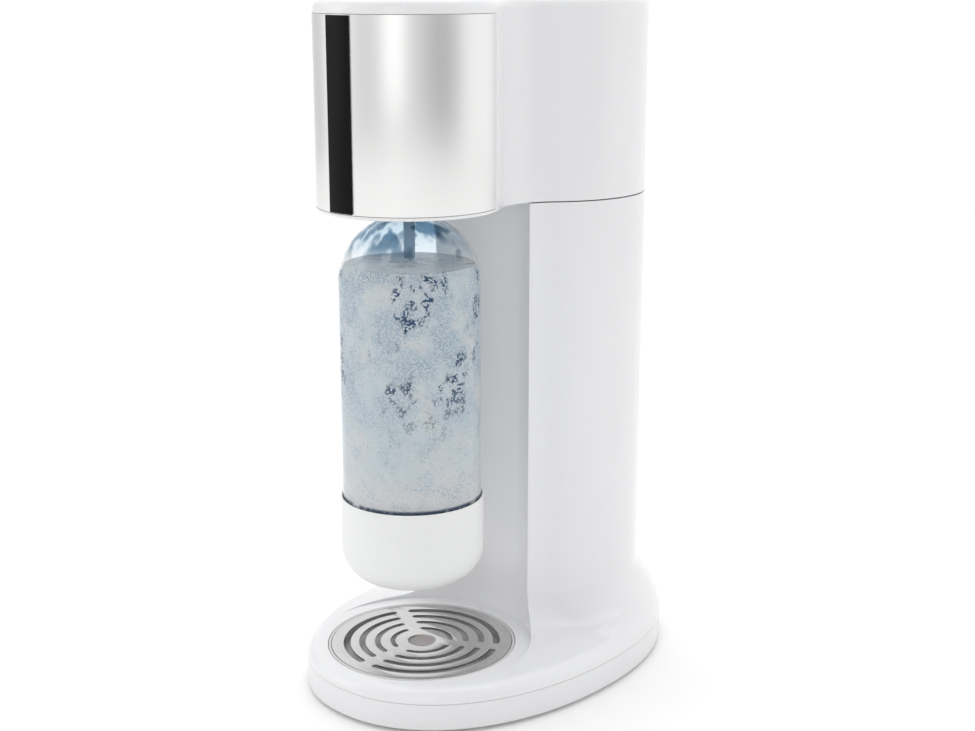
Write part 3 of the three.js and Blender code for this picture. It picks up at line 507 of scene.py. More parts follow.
def turned_lines(name, colour, roughness, centre, pitch=2600):
    """Steel brushed in circles about an upright axis, with painted shade on its dished middle."""
    look, shader = principled(name, colour, roughness, 1.0, Anisotropic=0.75)
    link = look.node_tree.links.new
    shift = add_node(look, "ShaderNodeVectorMath", operation="SUBTRACT")
    shift.inputs[1].default_value = centre
    flat = add_node(look, "ShaderNodeVectorMath", operation="MULTIPLY")
    flat.inputs[1].default_value = (1, 1, 0)
    reach = add_node(look, "ShaderNodeVectorMath", operation="LENGTH")
    lines = add_node(look, "ShaderNodeTexNoise", noise_dimensions="1D", Scale=pitch, Detail=4)
    link(object_place(look), shift.inputs[0])
    link(shift.outputs[0], flat.inputs[0])
    link(flat.outputs[0], reach.inputs[0])
    link(reach.outputs["Value"], lines.inputs["W"])
    tone = blend_colours(look, lines.outputs["Fac"], shade(colour, 0.86), shade(colour, 1.08))
    # Painted shade: the dished middle is drawn dark, to stand for the shade inside the dimple.
    middle = step(look, reach.outputs["Value"], 0.0094, 0.0086)
    link(tint_over(look, tone, middle, (0.27, 0.255, 0.25)), shader.inputs["Base Color"])
    link(spread(look, lines.outputs["Fac"], roughness * 0.7, roughness * 1.4), shader.inputs["Roughness"])
    around = add_node(look, "ShaderNodeTangent", direction_type="RADIAL", axis="Z")
    link(around.outputs["Tangent"], shader.inputs["Tangent"])
    bump(look, shader, lines.outputs["Fac"], 0.25, 0.00003)
    return look


def black_acrylic(name):
    look, shader = principled(name, (0.003, 0.003, 0.004), 0.3, Specular_IOR_Level=0.08)
    look.node_tree.links.new(spread(look, noise(look, 50), 0.26, 0.34), shader.inputs["Roughness"])
    return look


def clear_bottle(name):
    look, shader = principled(
        name, (0.985, 0.995, 1.0), 0.02, IOR=1.3, Transmission_Weight=1.0, Specular_IOR_Level=0.6
    )
    link = look.node_tree.links.new
    link(spread(look, noise(look, 35), 0.01, 0.05), shader.inputs["Roughness"])
    neck = step(look, object_height(look), 0.279, 0.292)
    # Painted reflection: dark navy streaks near the neck stand for the dark surroundings seen through the
    # clear plastic.
    painted_reflection_streaks = step(look, noise(look, 75, (1, 1, 0.5), detail=2), 0.5, 0.6)
    clear = blend_colours(look, neck, (0.985, 0.995, 1.0), (0.80, 0.89, 0.95))
    link(tint_over(look, clear, times(look, painted_reflection_streaks, neck), (0.16, 0.27, 0.38)), shader.inputs["Base Color"])
    bump(look, shader, noise(look, 90, detail=1), 0.08, 0.0002)
    return look


def fizzy_water(name):
    """Water full of gas: pale blue, white where it foams, with dark flecks between the bubbles."""
    tint, deep = colours().water, colours().deep
    look, shader = principled(name, tint, 0.1, IOR=1.33, Transmission_Weight=0.1)
    link = look.node_tree.links.new
    place = object_place(look)
    warp = add_node(look, "ShaderNodeTexNoise", Scale=120.0, Detail=4.0)
    push = add_node(look, "ShaderNodeVectorMath", operation="MULTIPLY_ADD")
    push.inputs[1].default_value = (0.004, 0.004, 0.006)
    link(place, warp.inputs["Vector"])
    link(warp.outputs["Color"], push.inputs[0])
    link(place, push.inputs[2])
    coarse = cells(look, push.outputs[0], 620.0)
    fine = cells(look, push.outputs[0], 980.0)
    height = object_height(look)
    upper = step(look, height, 0.160, 0.215)
    foot = step(look, height, 0.165, 0.138)
    foam = step(look, noise(look, 60, (1, 1, 0.8), detail=6), 0.45, 0.62)
    pale = blend_colours(look, foam, tuple(tint), (0.93, 0.97, 1.0))
    pale = tint_over(look, pale, foot, (0.97, 0.98, 1.0))
    grain = times(look, step(look, fine, 0.36, 0.66), step(look, noise(look, 50, detail=5), 0.36, 0.56))
    pale = tint_over(look, pale, times(look, grain, upper), (0.50, 0.64, 0.77))
    faint = times(look, step(look, fine, 0.45, 0.80), step(look, noise(look, 80, detail=3), 0.45, 0.65))
    pale = tint_over(look, pale, faint, (0.66, 0.79, 0.90))
    spots = times(look, step(look, coarse, 0.38, 0.56), step(look, noise(look, 130, detail=3), 0.47, 0.56))
    where = times(look, step(look, noise(look, 45, (1, 1, 0.5), (0.02, 0.01, 0), 3), 0.50, 0.58), upper)
    pale = tint_over(look, pale, times(look, spots, where), tuple(deep))
    edge = times(look, step(look, height, 0.1335, 0.1318), step(look, noise(look, 70), 0.35, 0.5))
    pale = tint_over(look, pale, edge, (0.08, 0.13, 0.22))
    link(pale, shader.inputs["Base Color"])
    relief = add_node(look, "ShaderNodeMath", operation="MULTIPLY_ADD")
    relief.inputs[1].default_value = 0.6
    link(fine, relief.inputs[0])
    link(coarse, relief.inputs[2])
    bump(look, shader, relief.outputs[0], 0.75, 0.0008)
    return look


def gas_bubbles(name):
    look, shader = principled(name, (0.95, 0.98, 1.0), 0.04, IOR=1.2, Transmission_Weight=0.35)
    tone = step(look, noise(look, 900, detail=1), 0.30, 0.36)
    link = look.node_tree.links.new
    link(blend_colours(look, tone, (0.10, 0.18, 0.28), (0.93, 0.97, 1.0)), shader.inputs["Base Color"])
    return look


LOOKS = {}


def look(key):
    """Each material is made once, when a piece first asks for it."""
    if key in LOOKS:
        return LOOKS[key]
    c = colours()
    drum = (0, BOTTLE_Y * MM, 0)
    tray = (0, TRAY_Y * MM, 0)
    grey = (0.30, 0.31, 0.32)
    makers = {
        "white": lambda: moulded("white_gloss_plastic", c.white, 0.22, coat=0.25),
        "pan": lambda: moulded("white_satin_plastic", shade(c.white, 0.985), 0.3, coat=0.1),
        "cup": lambda: moulded("milky_cup_plastic", c.cup, 0.38),
        # Painted shade: the tray is drawn darker than the milky cup, for the shadow inside the grate's
        # slots.
        "tray": lambda: moulded("tray_plastic", shade(c.cup, 0.8), 0.4),
        "black": lambda: black_acrylic("black_gloss_acrylic"),
        "grey": lambda: moulded("grey_nylon", grey, 0.5, 0.00006),
        "rubber": lambda: moulded("black_rubber", (0.025, 0.025, 0.028), 0.75, 0.0001),
        "sleeve": lambda: brushed("brushed_sleeve_steel", c.steel, 0.3, (5, 5, 1500), drum),
        "grate": lambda: turned_lines("turned_grate_steel", shade(c.steel, 0.74), 0.26, tray),
        "zinc": lambda: brushed("zinc_steel", (0.62, 0.63, 0.65), 0.35, (900, 900, 60)),
        "spring": lambda: brushed("spring_steel", (0.5, 0.5, 0.52), 0.3, (400, 400, 400)),
        "brass": lambda: brushed("machined_brass", (0.78, 0.58, 0.27), 0.28, (60, 60, 1800)),
        "cylinder": lambda: brushed("cylinder_steel", (0.62, 0.63, 0.64), 0.33, (8, 8, 1100)),
        "bottle": lambda: clear_bottle("clear_bottle_plastic"),
        "water": lambda: fizzy_water("fizzy_water"),
        "bubble": lambda: gas_bubbles("gas_bubbles"),
        "tube": lambda: moulded("nozzle_tube_plastic", (0.52, 0.66, 0.78), 0.25),
    }
    LOOKS[key] = makers[key]()
    return LOOKS[key]


# ---- base and column
SEGMENTS = 288
ANGLES = np.linspace(0, 2 * pi, SEGMENTS, endpoint=False)


def outline_skin(name, radius, profile, ends="caps"):
    """Skin whose rings follow an outline at the insets and heights of a profile."""
    rings = [polar_ring(radius(ANGLES, inset), ANGLES, z) for inset, z in profile]
    return skin(name, rings, ends)


def make_base_pan():
    wall = sizes().wall
    low, high = PAN_LOW[2], sizes().base_seam - 0.3
    half = BASE_HALF_WIDTH
    profile = [
        (half - 1, low), (1.6, low), (0.5, low + 0.6), (0, low + 1.8), (0, high - 0.5),
        (0.15, high - 0.12), (0.5, high), (wall, high), (wall, low + wall + 1.5),
        (wall + 1.5, low + wall), (half - 1, low + wall),
    ]
    return outline_skin("white_base_pan", base_radius, profile)


def body_skin(name, inset, lift, steps):
    run = base_radius(ANGLES, inset) - column_radius(ANGLES, inset)
    rings = []
    for t in np.linspace(0, 1, steps):
        drop, z = flare_section(run, float(t))
        z = z - inset if t > 0 else sizes().base_seam - (1 if inset else 0) + 0 * run
        rings.append(polar_ring(base_radius(ANGLES, inset) - drop, ANGLES, z))
    for share in (0.25, 0.5, 0.75, 1):
        z = mix(sizes().flare_top, HEAD_SEAM_Z + lift, share)
        rings.append(polar_ring(column_radius(ANGLES, inset), ANGLES, z))
    return skin(name, rings)


def upright(name, radius, low, high, y, segments=192):
    return turned(name, [(0, low), (radius, low), (radius, high), (0, high)], y, segments)


def cover_wedge(name, apex_y, low):
    half = sizes().cover_angle
    reach = 170
    corners = [
        (0, apex_y), (reach * sin(half), apex_y + reach * cos(half)),
        (-reach * sin(half), apex_y + reach * cos(half)),
    ]
    high = HEAD_SEAM_Z + 6
    vertices = [(x, y, z) for z in (low, high) for x, y in corners]
    faces = [(2, 1, 0), (3, 4, 5), (0, 1, 4, 3), (1, 2, 5, 4), (2, 0, 3, 5)]
    return face_outwards(new_piece(name, vertices, faces))


def finger_notch(side):
    """Ball that cuts a finger grip where the cover's seam runs up the column."""
    radius = 9
    half = sizes().cover_angle
    out = REAR_RADIUS + radius - 1.6
    steps = 16
    profile = [(radius * sin(pi * k / steps), 230 - radius * cos(pi * k / steps)) for k in range(steps + 1)]
    profile[0] = (0, 230 - radius)
    profile[-1] = (0, 230 + radius)
    return turned("notch", profile, REAR_Y + out * cos(half), 48, side * out * sin(half))


def make_column():
    s = sizes()
    outer = body_skin("outer", 0, 0, 41)
    carve(outer, upright("bay", s.bay_radius, DECK_Z, HEAD_SEAM_Z + 5, TRAY_Y))
    inner = body_skin("inner", s.wall, 1, 21)
    grown = s.bay_radius + s.wall
    carve(inner, upright("bay", grown, DECK_Z - s.wall, HEAD_SEAM_Z + 6, TRAY_Y))
    carve(outer, inner)
    for side in (-1, 1):
        carve(outer, finger_notch(side))
    cover_low = span("rear_cover")[0][2]
    cover = copy_of(outer, "white_rear_cover")
    carve(cover, cover_wedge("cover", REAR_Y + 0.6, cover_low), "INTERSECT")
    carve(outer, cover_wedge("opening", REAR_Y, cover_low - 0.5))
    carve(outer, upright("well", half_width("drip_tray") + 0.4, DECK_Z - 6, DECK_Z + 1, TRAY_Y))
    outer.name = "white_body_shell"
    return outer, cover


def make_foot(node):
    low, high = span(node)
    x, y = (low[0] + high[0]) / 2, (low[1] + high[1]) / 2
    radius = (high[0] - low[0]) / 2
    profile = [(0, 0.25), (4, 0.25), (5, 0), (radius - 0.8, 0), (radius, 0.7), (radius, 1.7), (3, 1.7)]
    profile += [(3, 4.8), (3.7, 5.4), (2.4, high[2]), (0, high[2])]
    return turned("rubber_" + node, rounded(profile, 0.4), y, 48, x)


# ---- head
def on_sleeve(angle):
    """1 where the outline runs along the steel sleeve, by angle from the front."""
    radius = head_radius(angle)
    x, y = radius * np.sin(angle), -radius * np.cos(angle)
    around = np.arctan2(np.abs(x), -(y - BOTTLE_Y))
    return (around < sizes().band_angle + 0.006).astype(float)


def make_head_shell():
    wall = sizes().head_wall
    low, high = HEAD_LOW[2], HEAD_HIGH[2]
    band_low, band_high = SLEEVE_LOW[2] - 0.3, SLEEVE_HIGH[2] + 0.3
    seat = LID_LOW[2] - 0.3
    depth = 1.1
    recess = on_sleeve(ANGLES) * depth
    outside = [
        (0.9, low), (0.35, low + 0.25), (0, low + 1.0), (0, band_low), ("recess", band_low),
        ("recess", band_high), (0, band_high), (0, high - 5.5), (0.12, high - 4), (0.55, high - 2.4),
        (1.3, high - 1.1), (2.3, high - 0.3), (3.4, high), (4.4, high - 0.12), (4.85, high - 0.5),
        (5, high - 1),
    ]
    inside = [(5, seat), (8, seat), (8, seat - 3.8), (wall, seat - 4.2), (wall, low)]
    rings = []
    for inset, z in outside + inside:
        inset = recess if isinstance(inset, str) else inset
        rings.append(polar_ring(head_radius(ANGLES, inset), ANGLES, z))
    shell = skin("white_head_shell", rings, "loop")
    floor = outline_skin("floor", head_radius, [(1.5, low), (1.5, low + 2.5)])
    grown = sizes().bay_radius + sizes().wall
    carve(floor, upright("over_bay", grown, low - 2, low + 9, TRAY_Y), "INTERSECT")
    carve(floor, upright("socket", half_width("bottle_socket") + 0.4, low - 1, low + 9, BOTTLE_Y, 96))
    return carve(shell, floor, "UNION")


def drum_band(name, inner, outer, half_angle, low, high, edge, steps):
    """Part of a ring about the front drum, with rounded edges."""
    section = rounded([(inner, low), (outer, low), (outer, high), (inner, high)], edge, 3, closed=True)
    rings = []
    for angle in np.linspace(-half_angle, half_angle, steps):
        rings.append([(r * sin(angle), BOTTLE_Y - r * cos(angle), z) for r, z in section])
    return skin(name, rings)


def make_top_cover():
    low, high = LID_LOW[2], LID_HIGH[2]
    profile = [(5.4, low), (5.3, low + 0.3), (5.3, high - 0.6), (5.5, high - 0.15), (6.0, high)]
    plate = outline_skin("white_top_cover", head_radius, profile)
    return carve(plate, upright("hole", half_width("push_button") + 0.4, low - 1, high + 1, BOTTLE_Y))


def make_button():
    radius = half_width("push_button")
    top, low = BUTTON_HIGH[2], BUTTON_LOW[2]
    skirt_low = top - 17.6
    under = top - 2.6
    profile = [
        (0, under), (radius - 2, under), (radius - 2, skirt_low), (radius, skirt_low),
        (radius, top - 0.2, 1.4), (radius - 4, top), (radius - 9, top - 0.5), (0, top - 0.9),
    ]
    button = turned("white_push_button", rounded(profile, 0.5), BOTTLE_Y, 160)
    post = turned("post", [(0, low), (5, low), (5, under + 1), (0, under + 1)], BOTTLE_Y + 12.5, 32)
    return carve(button, post, "UNION")


# ---- bottle
NECK_RADIUS = 13.6
NECK_Z = 305
SHOULDER_Z = 266
BOTTLE_CORNER = 20
BOTTLE_WALL = 1.2


def bottle_outline(inset):
    """Outline from the bottom of the bottle up to its neck."""
    r = half_width("bottle") - inset
    neck = NECK_RADIUS - inset
    low = BOTTLE_LOW[2] + inset
    corner = BOTTLE_CORNER - inset
    points = [(0, low)]
    for k in range(13):
        turn = k / 12 * pi / 2
        points.append((r - corner + corner * sin(turn), low + corner * (1 - cos(turn))))
    lean = acos(neck / r)
    height = NECK_Z - SHOULDER_Z - inset
    for k in range(25):
        turn = k / 24 * lean
        points.append((r * cos(turn), SHOULDER_Z + height * sin(turn) / sin(lean)))
    return points


def make_bottle():
    mouth = BOTTLE_HIGH[2]
    bore = NECK_RADIUS - BOTTLE_WALL
    neck = [(NECK_RADIUS, NECK_Z + 2.5)]
    for turn in range(3):  # thread ridges
        z = NECK_Z + 12 + 5.5 * turn
        crest = NECK_RADIUS + 0.5
        neck += [(NECK_RADIUS, z), (crest, z + 0.8), (crest, z + 1.6), (NECK_RADIUS, z + 2.4)]
    finish = [(NECK_RADIUS, NECK_Z + 1)] + neck + [(NECK_RADIUS, mouth - 0.3)]
    outside = bottle_outline(0) + rounded(finish, 0.3)
    inside = bottle_outline(BOTTLE_WALL) + [(bore, mouth)]
    return turned("clear_water_bottle", outside + [(NECK_RADIUS - 0.3, mouth)] + inside[::-1], BOTTLE_Y, 128)


def make_cup():
    r = half_width("bottle_cup")
    low, high = CUP_LOW[2], CUP_HIGH[2]
    corner = 22
    floor = BOTTLE_LOW[2] - 0.3
    arc = [k / 12 * pi / 2 for k in range(13)]
    outside = [(0, low + 0.3), (r - corner - 6, low + 0.3)]
    outside += [(r - corner + corner * sin(a), low + corner * (1 - cos(a))) for a in arc]
    inner = half_width("bottle") + 0.3
    inside = [(inner - BOTTLE_CORNER * (1 - sin(a)), floor + BOTTLE_CORNER * (1 - cos(a))) for a in arc]
    lip = [(r, high - 0.5), (r - 0.12, high - 0.15), (r - 0.45, high), (inner + 0.1, high - 0.2)]
    return turned("milky_bottle_cup", outside + lip + inside[::-1] + [(0, floor)], BOTTLE_Y, 128)


def make_water():
    """The water against the bottle's inner wall, up to its level."""
    level = span("water")[1][2]
    points = [p for p in bottle_outline(BOTTLE_WALL - 0.05) if p[1] < level - 0.8]
    edge = points[-1][0] - 0.9
    points += [(edge - 0.6, level), (edge * 0.5, level - 0.3), (0, level - 0.3)]
    return turned("fizzy_water_fill", points, BOTTLE_Y, 128)


def repeating_tree(name, inputs):
    """Node tree with its group input and output, and named float inputs."""
    tree = bpy.data.node_groups.new(name, "GeometryNodeTree")
    face = tree.interface
    face.new_socket("Geometry", in_out="INPUT", socket_type="NodeSocketGeometry")
    for label, value in inputs:
        kind = "NodeSocketInt" if isinstance(value, int) else "NodeSocketFloat"
        face.new_socket(label, in_out="INPUT", socket_type=kind).default_value = value
    face.new_socket("Material", in_out="INPUT", socket_type="NodeSocketMaterial")
    face.new_socket("Geometry", in_out="OUTPUT", socket_type="NodeSocketGeometry")
    return tree, tree.nodes.new("NodeGroupInput")


def place_copies(tree, given, points, shape, scale=None):
    """Puts the shape on the points, makes the copies real and gives them the material."""
    new, link = tree.nodes.new, tree.links.new
    copies = new("GeometryNodeInstanceOnPoints")
    real = new("GeometryNodeRealizeInstances")
    paint = new("GeometryNodeSetMaterial")
    result = new("NodeGroupOutput")
    link(points, copies.inputs["Points"])
    link(shape, copies.inputs["Instance"])
    if scale:
        link(scale, copies.inputs["Scale"])
    link(copies.outputs["Instances"], real.inputs["Geometry"])
    link(real.outputs["Geometry"], paint.inputs["Geometry"])
    link(given.outputs["Material"], paint.inputs["Material"])
    link(paint.outputs["Geometry"], result.inputs["Geometry"])
    return tree


def bubble_tree():
    """Geometry nodes that scatter small bubbles of mixed size over a surface."""
    inputs = (
        ("Count per square metre", 100.0),
        ("Smallest radius", 0.00015),
        ("Largest radius", 0.00045),
        ("Seed", 7),
    )
    tree, given = repeating_tree("scatter_bubbles", inputs)
    new, link = tree.nodes.new, tree.links.new
    scatter = new("GeometryNodeDistributePointsOnFaces")
    ball = new("GeometryNodeMeshIcoSphere")
    ball.inputs["Radius"].default_value = 1.0
    ball.inputs["Subdivisions"].default_value = 2
    size = new("FunctionNodeRandomValue")
    link(given.outputs["Geometry"], scatter.inputs["Mesh"])
    link(given.outputs["Count per square metre"], scatter.inputs["Density"])
    link(given.outputs["Seed"], scatter.inputs["Seed"])
    link(given.outputs["Smallest radius"], size.inputs[2])
    link(given.outputs["Largest radius"], size.inputs[3])
    link(given.outputs["Seed"], size.inputs["Seed"])
    return place_copies(tree, given, scatter.outputs["Points"], ball.outputs["Mesh"], size.outputs[1])


def set_input(modifier, name, value):
    socket = modifier.node_group.interface.items_tree[name]
    modifier[socket.identifier] = value


def make_bubbles():
    """Bubbles on the inside of the bottle's wall, below the water level."""
    inset = BOTTLE_WALL + 0.1
    level = span("water")[1][2] - 4
    side = [p for p in bottle_outline(inset) if CUP_HIGH[2] - 5 < p[1] < level]
    strip = [(side[0][0], CUP_HIGH[2])] + side
    segments = 64
    vertices = []
    for r, z in strip:
        for i in range(segments):
            angle = 2 * pi * i / segments
            vertices.append((r * cos(angle), BOTTLE_Y + r * sin(angle), z))
    faces = []
    for k in range(len(strip) - 1):
        faces += ring_faces(k * segments, (k + 1) * segments, segments)
    bubbles = new_piece("gas_bubbles", vertices, faces)
    area = sum(f.area for f in bubbles.data.polygons)
    modifier = bubbles.modifiers.new("scatter", "NODES")
    modifier.node_group = bubble_tree()
    set_input(modifier, "Count per square metre", sizes().bubble_count / area)
    set_input(modifier, "Material", look("bubble"))
    return bake(bubbles)


# ---- tray and grate
def make_tray():
    r = half_width("drip_tray")
    low, top = TRAY_LOW[2], DECK_Z
    under = span("drip_grate")[0][2] - 0.3
    profile = [
        (0, low), (r - 4, low, 2), (r, low + 4, 2), (r, top, 0.5), (r - 1.6, top, 0.4),
        (r - 1.6, under), (r - 3.2, under), (r - 3.2, low + 4.6, 2), (r - 5.6, low + 2, 1),
        (4, low + 2, 1), (4, under), (0, under),
    ]
    # The tray's darker colour is painted shade, for the shadow under the grate.
    return turned("painted_shade_drip_tray", rounded(profile, 0.3), TRAY_Y, 128)


SLOT_RINGS = ((18.6, 3.2), (28.4, 3.7), (38.3, 4.1), (48.1, 4.5))


def arc(radius, start, end, count, x=0.0, y=0.0):
    """Points along an arc about (x, y)."""
    return [(x + radius * cos(a), y + radius * sin(a)) for a in np.linspace(start, end, count)]


def slot_outline(radius, width, spoke):
    """Curved slot with round ends, between two spokes."""
    half = width / 2
    clear = asin((sizes().spoke_width / 2 + half) / radius)
    start, end = spoke + clear, spoke + 2 * pi / 3 - clear
    points = arc(radius + half, start, end, 41)
    points += arc(half, end, end + pi, 11, radius * cos(end), radius * sin(end))[1:-1]
    points += arc(radius - half, end, start, 41)
    points += arc(half, start + pi, start + 2 * pi, 11, radius * cos(start), radius * sin(start))[1:-1]
    return points


def make_grate():
    low, high = span("drip_grate")
    edge = (high[0] - low[0]) / 2
    z0, z1 = low[2], high[2]
    dimple = 9.2
    loops = [arc(edge, 0, 2 * pi, 193)[:-1], arc(dimple, 0, 2 * pi, 65)[:-1]]
    for radius, width in SLOT_RINGS:
        for i in range(3):
            loops.append(slot_outline(radius, width, -pi / 2 + i * 2 * pi / 3))
    flat = [p for loop in loops for p in loop]
    count = len(flat)
    vertices = [(x, TRAY_Y + y, z1) for x, y in flat] + [(x, TRAY_Y + y, z0) for x, y in flat]
    triangles = tessellate_polygon([[Vector((x, y, 0)) for x, y in loop] for loop in loops])
    faces = [tuple(t) for t in triangles] + [tuple(i + count for i in t[::-1]) for t in triangles]
    start = 0
    for number, loop in enumerate(loops):
        size = len(loop)
        if number != 1:
            for i in range(size):
                here, after = start + i, start + (i + 1) % size
                faces.append((here, after, after + count, here + count))
        start += size
    # the middle is a shallow dished disc
    first = len(loops[0])
    size = len(loops[1])
    for base, level in ((0, z1), (count, z0)):
        previous = base + first
        for share, drop in ((0.93, 0.35), (0.8, 0.75), (0.5, 0.95), (0.2, 1.0)):
            ring = len(vertices)
            for x, y in loops[1]:
                vertices.append((x * share, TRAY_Y + y * share, level - drop))
            faces += ring_faces(previous, ring, size)
            previous = ring
        faces.append(tuple(range(previous, previous + size)))
    grate = face_outwards(new_piece("steel_drip_grate", vertices, faces))
    return soften(grate, 0.22, 2, 50)


# ---- inside
def make_gas_cylinder():
    r = half_width("gas_cylinder")
    z0, z1 = CYLINDER_LOW[2], CYLINDER_HIGH[2]
    outside = [(0, z0 + 5), (r - 12, z0 + 3), (r - 7, z0), (r - 2, z0 + 2), (r, z0 + 8), (r, z1 - 26, 8)]
    outside += [(r - 3, z1 - 15, 6), (17, z1 - 5, 3), (13, z1, 0.5)]
    inside = [(8, z1, 0.5), (8, z1 - 9), (r - 6, z1 - 18), (r - 3, z1 - 27)]
    inside += [(r - 3, z0 + 10), (r - 8, z0 + 7), (0, z0 + 8)]
    return turned("steel_gas_cylinder", rounded(outside + inside, 2), middle_y("gas_cylinder"), 96)


def make_socket():
    r = half_width("bottle_socket")
    low, high = span("bottle_socket")
    bore = NECK_RADIUS + 0.8
    profile = [(bore + 2, low[2], 0.5), (r, low[2], 1), (r, high[2]), (bore, high[2]), (bore, low[2] + 2)]
    return turned("grey_bottle_socket", rounded(profile, 0.3, 4, closed=True), BOTTLE_Y, 96)


def make_nozzle():
    low, high = span("nozzle_tube")
    r = half_width("nozzle_tube")
    profile = [(1.6, low[2]), (r, low[2], 1), (r, high[2]), (1.6, high[2])]
    return turned("blue_nozzle_tube", rounded(profile, 0.3, 4, closed=True), BOTTLE_Y, 48)


def screw_tree():
    """Geometry nodes that put a pan-head screw with a cross recess on each point."""
    inputs = (
        ("Head radius", 0.0035),
        ("Head height", 0.0014),
        ("Shaft radius", 0.0017),
        ("Shaft length", 0.0126),
    )
    tree, given = repeating_tree("pan_head_screws", inputs)
    new, link = tree.nodes.new, tree.links.new

    def part(kind, move, **sockets):
        shape = new(kind)
        for key, value in sockets.items():
            key = key.replace("_", " ")
            if isinstance(value, str):
                link(given.outputs[value], shape.inputs[key])
            else:
                shape.inputs[key].default_value = value
        place = new("GeometryNodeTransform")
        place.inputs["Translation"].default_value = move
        link(shape.outputs["Mesh"], place.inputs["Geometry"])
        return place.outputs["Geometry"]

    cylinder, box = "GeometryNodeMeshCylinder", "GeometryNodeMeshCube"
    head = part(cylinder, (0, 0, 0.0007), Vertices=40, Radius="Head radius", Depth="Head height")
    shaft = part(cylinder, (0, 0, 0.0074), Vertices=24, Radius="Shaft radius", Depth="Shaft length")
    slot_a = part(box, (0, 0, 0), Size=(0.0042, 0.0008, 0.0014))
    slot_b = part(box, (0, 0, 0), Size=(0.0008, 0.0042, 0.0014))
    whole, cut = new("GeometryNodeMeshBoolean"), new("GeometryNodeMeshBoolean")
    whole.operation, whole.solver = "UNION", "EXACT"
    cut.operation, cut.solver = "DIFFERENCE", "EXACT"
    link(head, whole.inputs["Mesh 2"])
    link(shaft, whole.inputs["Mesh 2"])
    link(whole.outputs["Mesh"], cut.inputs["Mesh 1"])
    link(slot_a, cut.inputs["Mesh 2"])
    link(slot_b, cut.inputs["Mesh 2"])
    return place_copies(tree, given, given.outputs["Geometry"], cut.outputs["Mesh"])


CORNERS = ("front_left", "front_right", "rear_left", "rear_right")


def make_base_screws():
    points = []
    for corner in CORNERS:
        low, high = span("base_screw_" + corner)
        points.append(((low[0] + high[0]) / 2, (low[1] + high[1]) / 2, low[2]))
    screws = new_piece("base_screws", points, [])
    modifier = screws.modifiers.new("screws", "NODES")
    modifier.node_group = screw_tree()
    set_input(modifier, "Material", look("zinc"))
    return bake(screws)


# ---- operators
class MakeBase(bpy.types.Operator):
    """Base pan, its rubber feet and the screws under it"""

    bl_idname = "carbonator.base"
    bl_label = "Base"

    def execute(self, context):
        finish_piece(make_base_pan(), look("pan"), "machine", "white_plastic", "base_pan")
        for corner in CORNERS:
            node = "foot_" + corner
            finish_piece(make_foot(node), look("rubber"), "machine", "rubber", node)
        nodes = ["base_screw_" + corner for corner in CORNERS]
        finish_piece(make_base_screws(), look("zinc"), "machine", "zinc_steel", *nodes)
        return {"FINISHED"}


class MakeBody(bpy.types.Operator):
    """Body shell with its bay, and the rear cover"""

    bl_idname = "carbonator.body"
    bl_label = "Body and rear cover"

    def execute(self, context):
        shell, cover = make_column()
        finish_piece(shell, look("white"), "machine", "white_plastic", "body_shell")
        finish_piece(cover, look("white"), "cover", "white_plastic", "rear_cover")
        return {"FINISHED"}


class MakeHead(bpy.types.Operator):
    """Head shell, steel sleeve, gloss stripe, top cover and push button"""

    bl_idname = "carbonator.head"
    bl_label = "Head"

    def execute(self, context):
        finish_piece(make_head_shell(), look("white"), "machine", "white_plastic", "head_shell")
        low, high = SLEEVE_LOW[2], SLEEVE_HIGH[2]
        outer = DRUM_RADIUS
        sleeve = drum_band("steel_sleeve_band", outer - 0.8, outer, sizes().band_angle, low, high, 0.3, 241)
        finish_piece(sleeve, look("sleeve"), "machine", "brushed_steel", "steel_sleeve")
        half = asin(half_width("gloss_stripe") / (outer + 1))
        low, high = (corner[2] for corner in span("gloss_stripe"))
        stripe = drum_band("gloss_stripe_band", outer + 0.3, outer + 1, half, low, high, 0.3, 33)
        finish_piece(stripe, look("black"), "machine", "black_gloss", "gloss_stripe")
        finish_piece(make_top_cover(), look("white"), "machine", "white_plastic", "top_cover")
        finish_piece(make_button(), look("white"), "button", "white_plastic", "push_button")
        return {"FINISHED"}


class MakeBottle(bpy.types.Operator):
    """Bottle, its cup, the fizzy water and the nozzle that reaches into it"""

    bl_idname = "carbonator.bottle"
    bl_label = "Bottle"

    def execute(self, context):
        finish_piece(make_bottle(), look("bottle"), "bottle_group", "clear_plastic", "bottle")
        finish_piece(make_cup(), look("cup"), "bottle_group", "milky_plastic", "bottle_cup")
        finish_piece(make_water(), look("water"), "bottle_group", "water", "water")
        finish_piece(make_bubbles(), look("bubble"), "bottle_group", "water")
        finish_piece(make_socket(), look("grey"), "machine", "grey_nylon", "bottle_socket")
        finish_piece(make_nozzle(), look("tube"), "machine", "grey_nylon", "nozzle_tube")
        return {"FINISHED"}


class MakeTray(bpy.types.Operator):
    """Drip tray and its slotted steel grate"""

    bl_idname = "carbonator.tray"
    bl_label = "Drip tray"

    def execute(self, context):
        finish_piece(make_tray(), look("tray"), "tray", "milky_plastic", "drip_tray")
        finish_piece(make_grate(), look("grate"), "grate", "brushed_steel", "drip_grate")
        return {"FINISHED"}


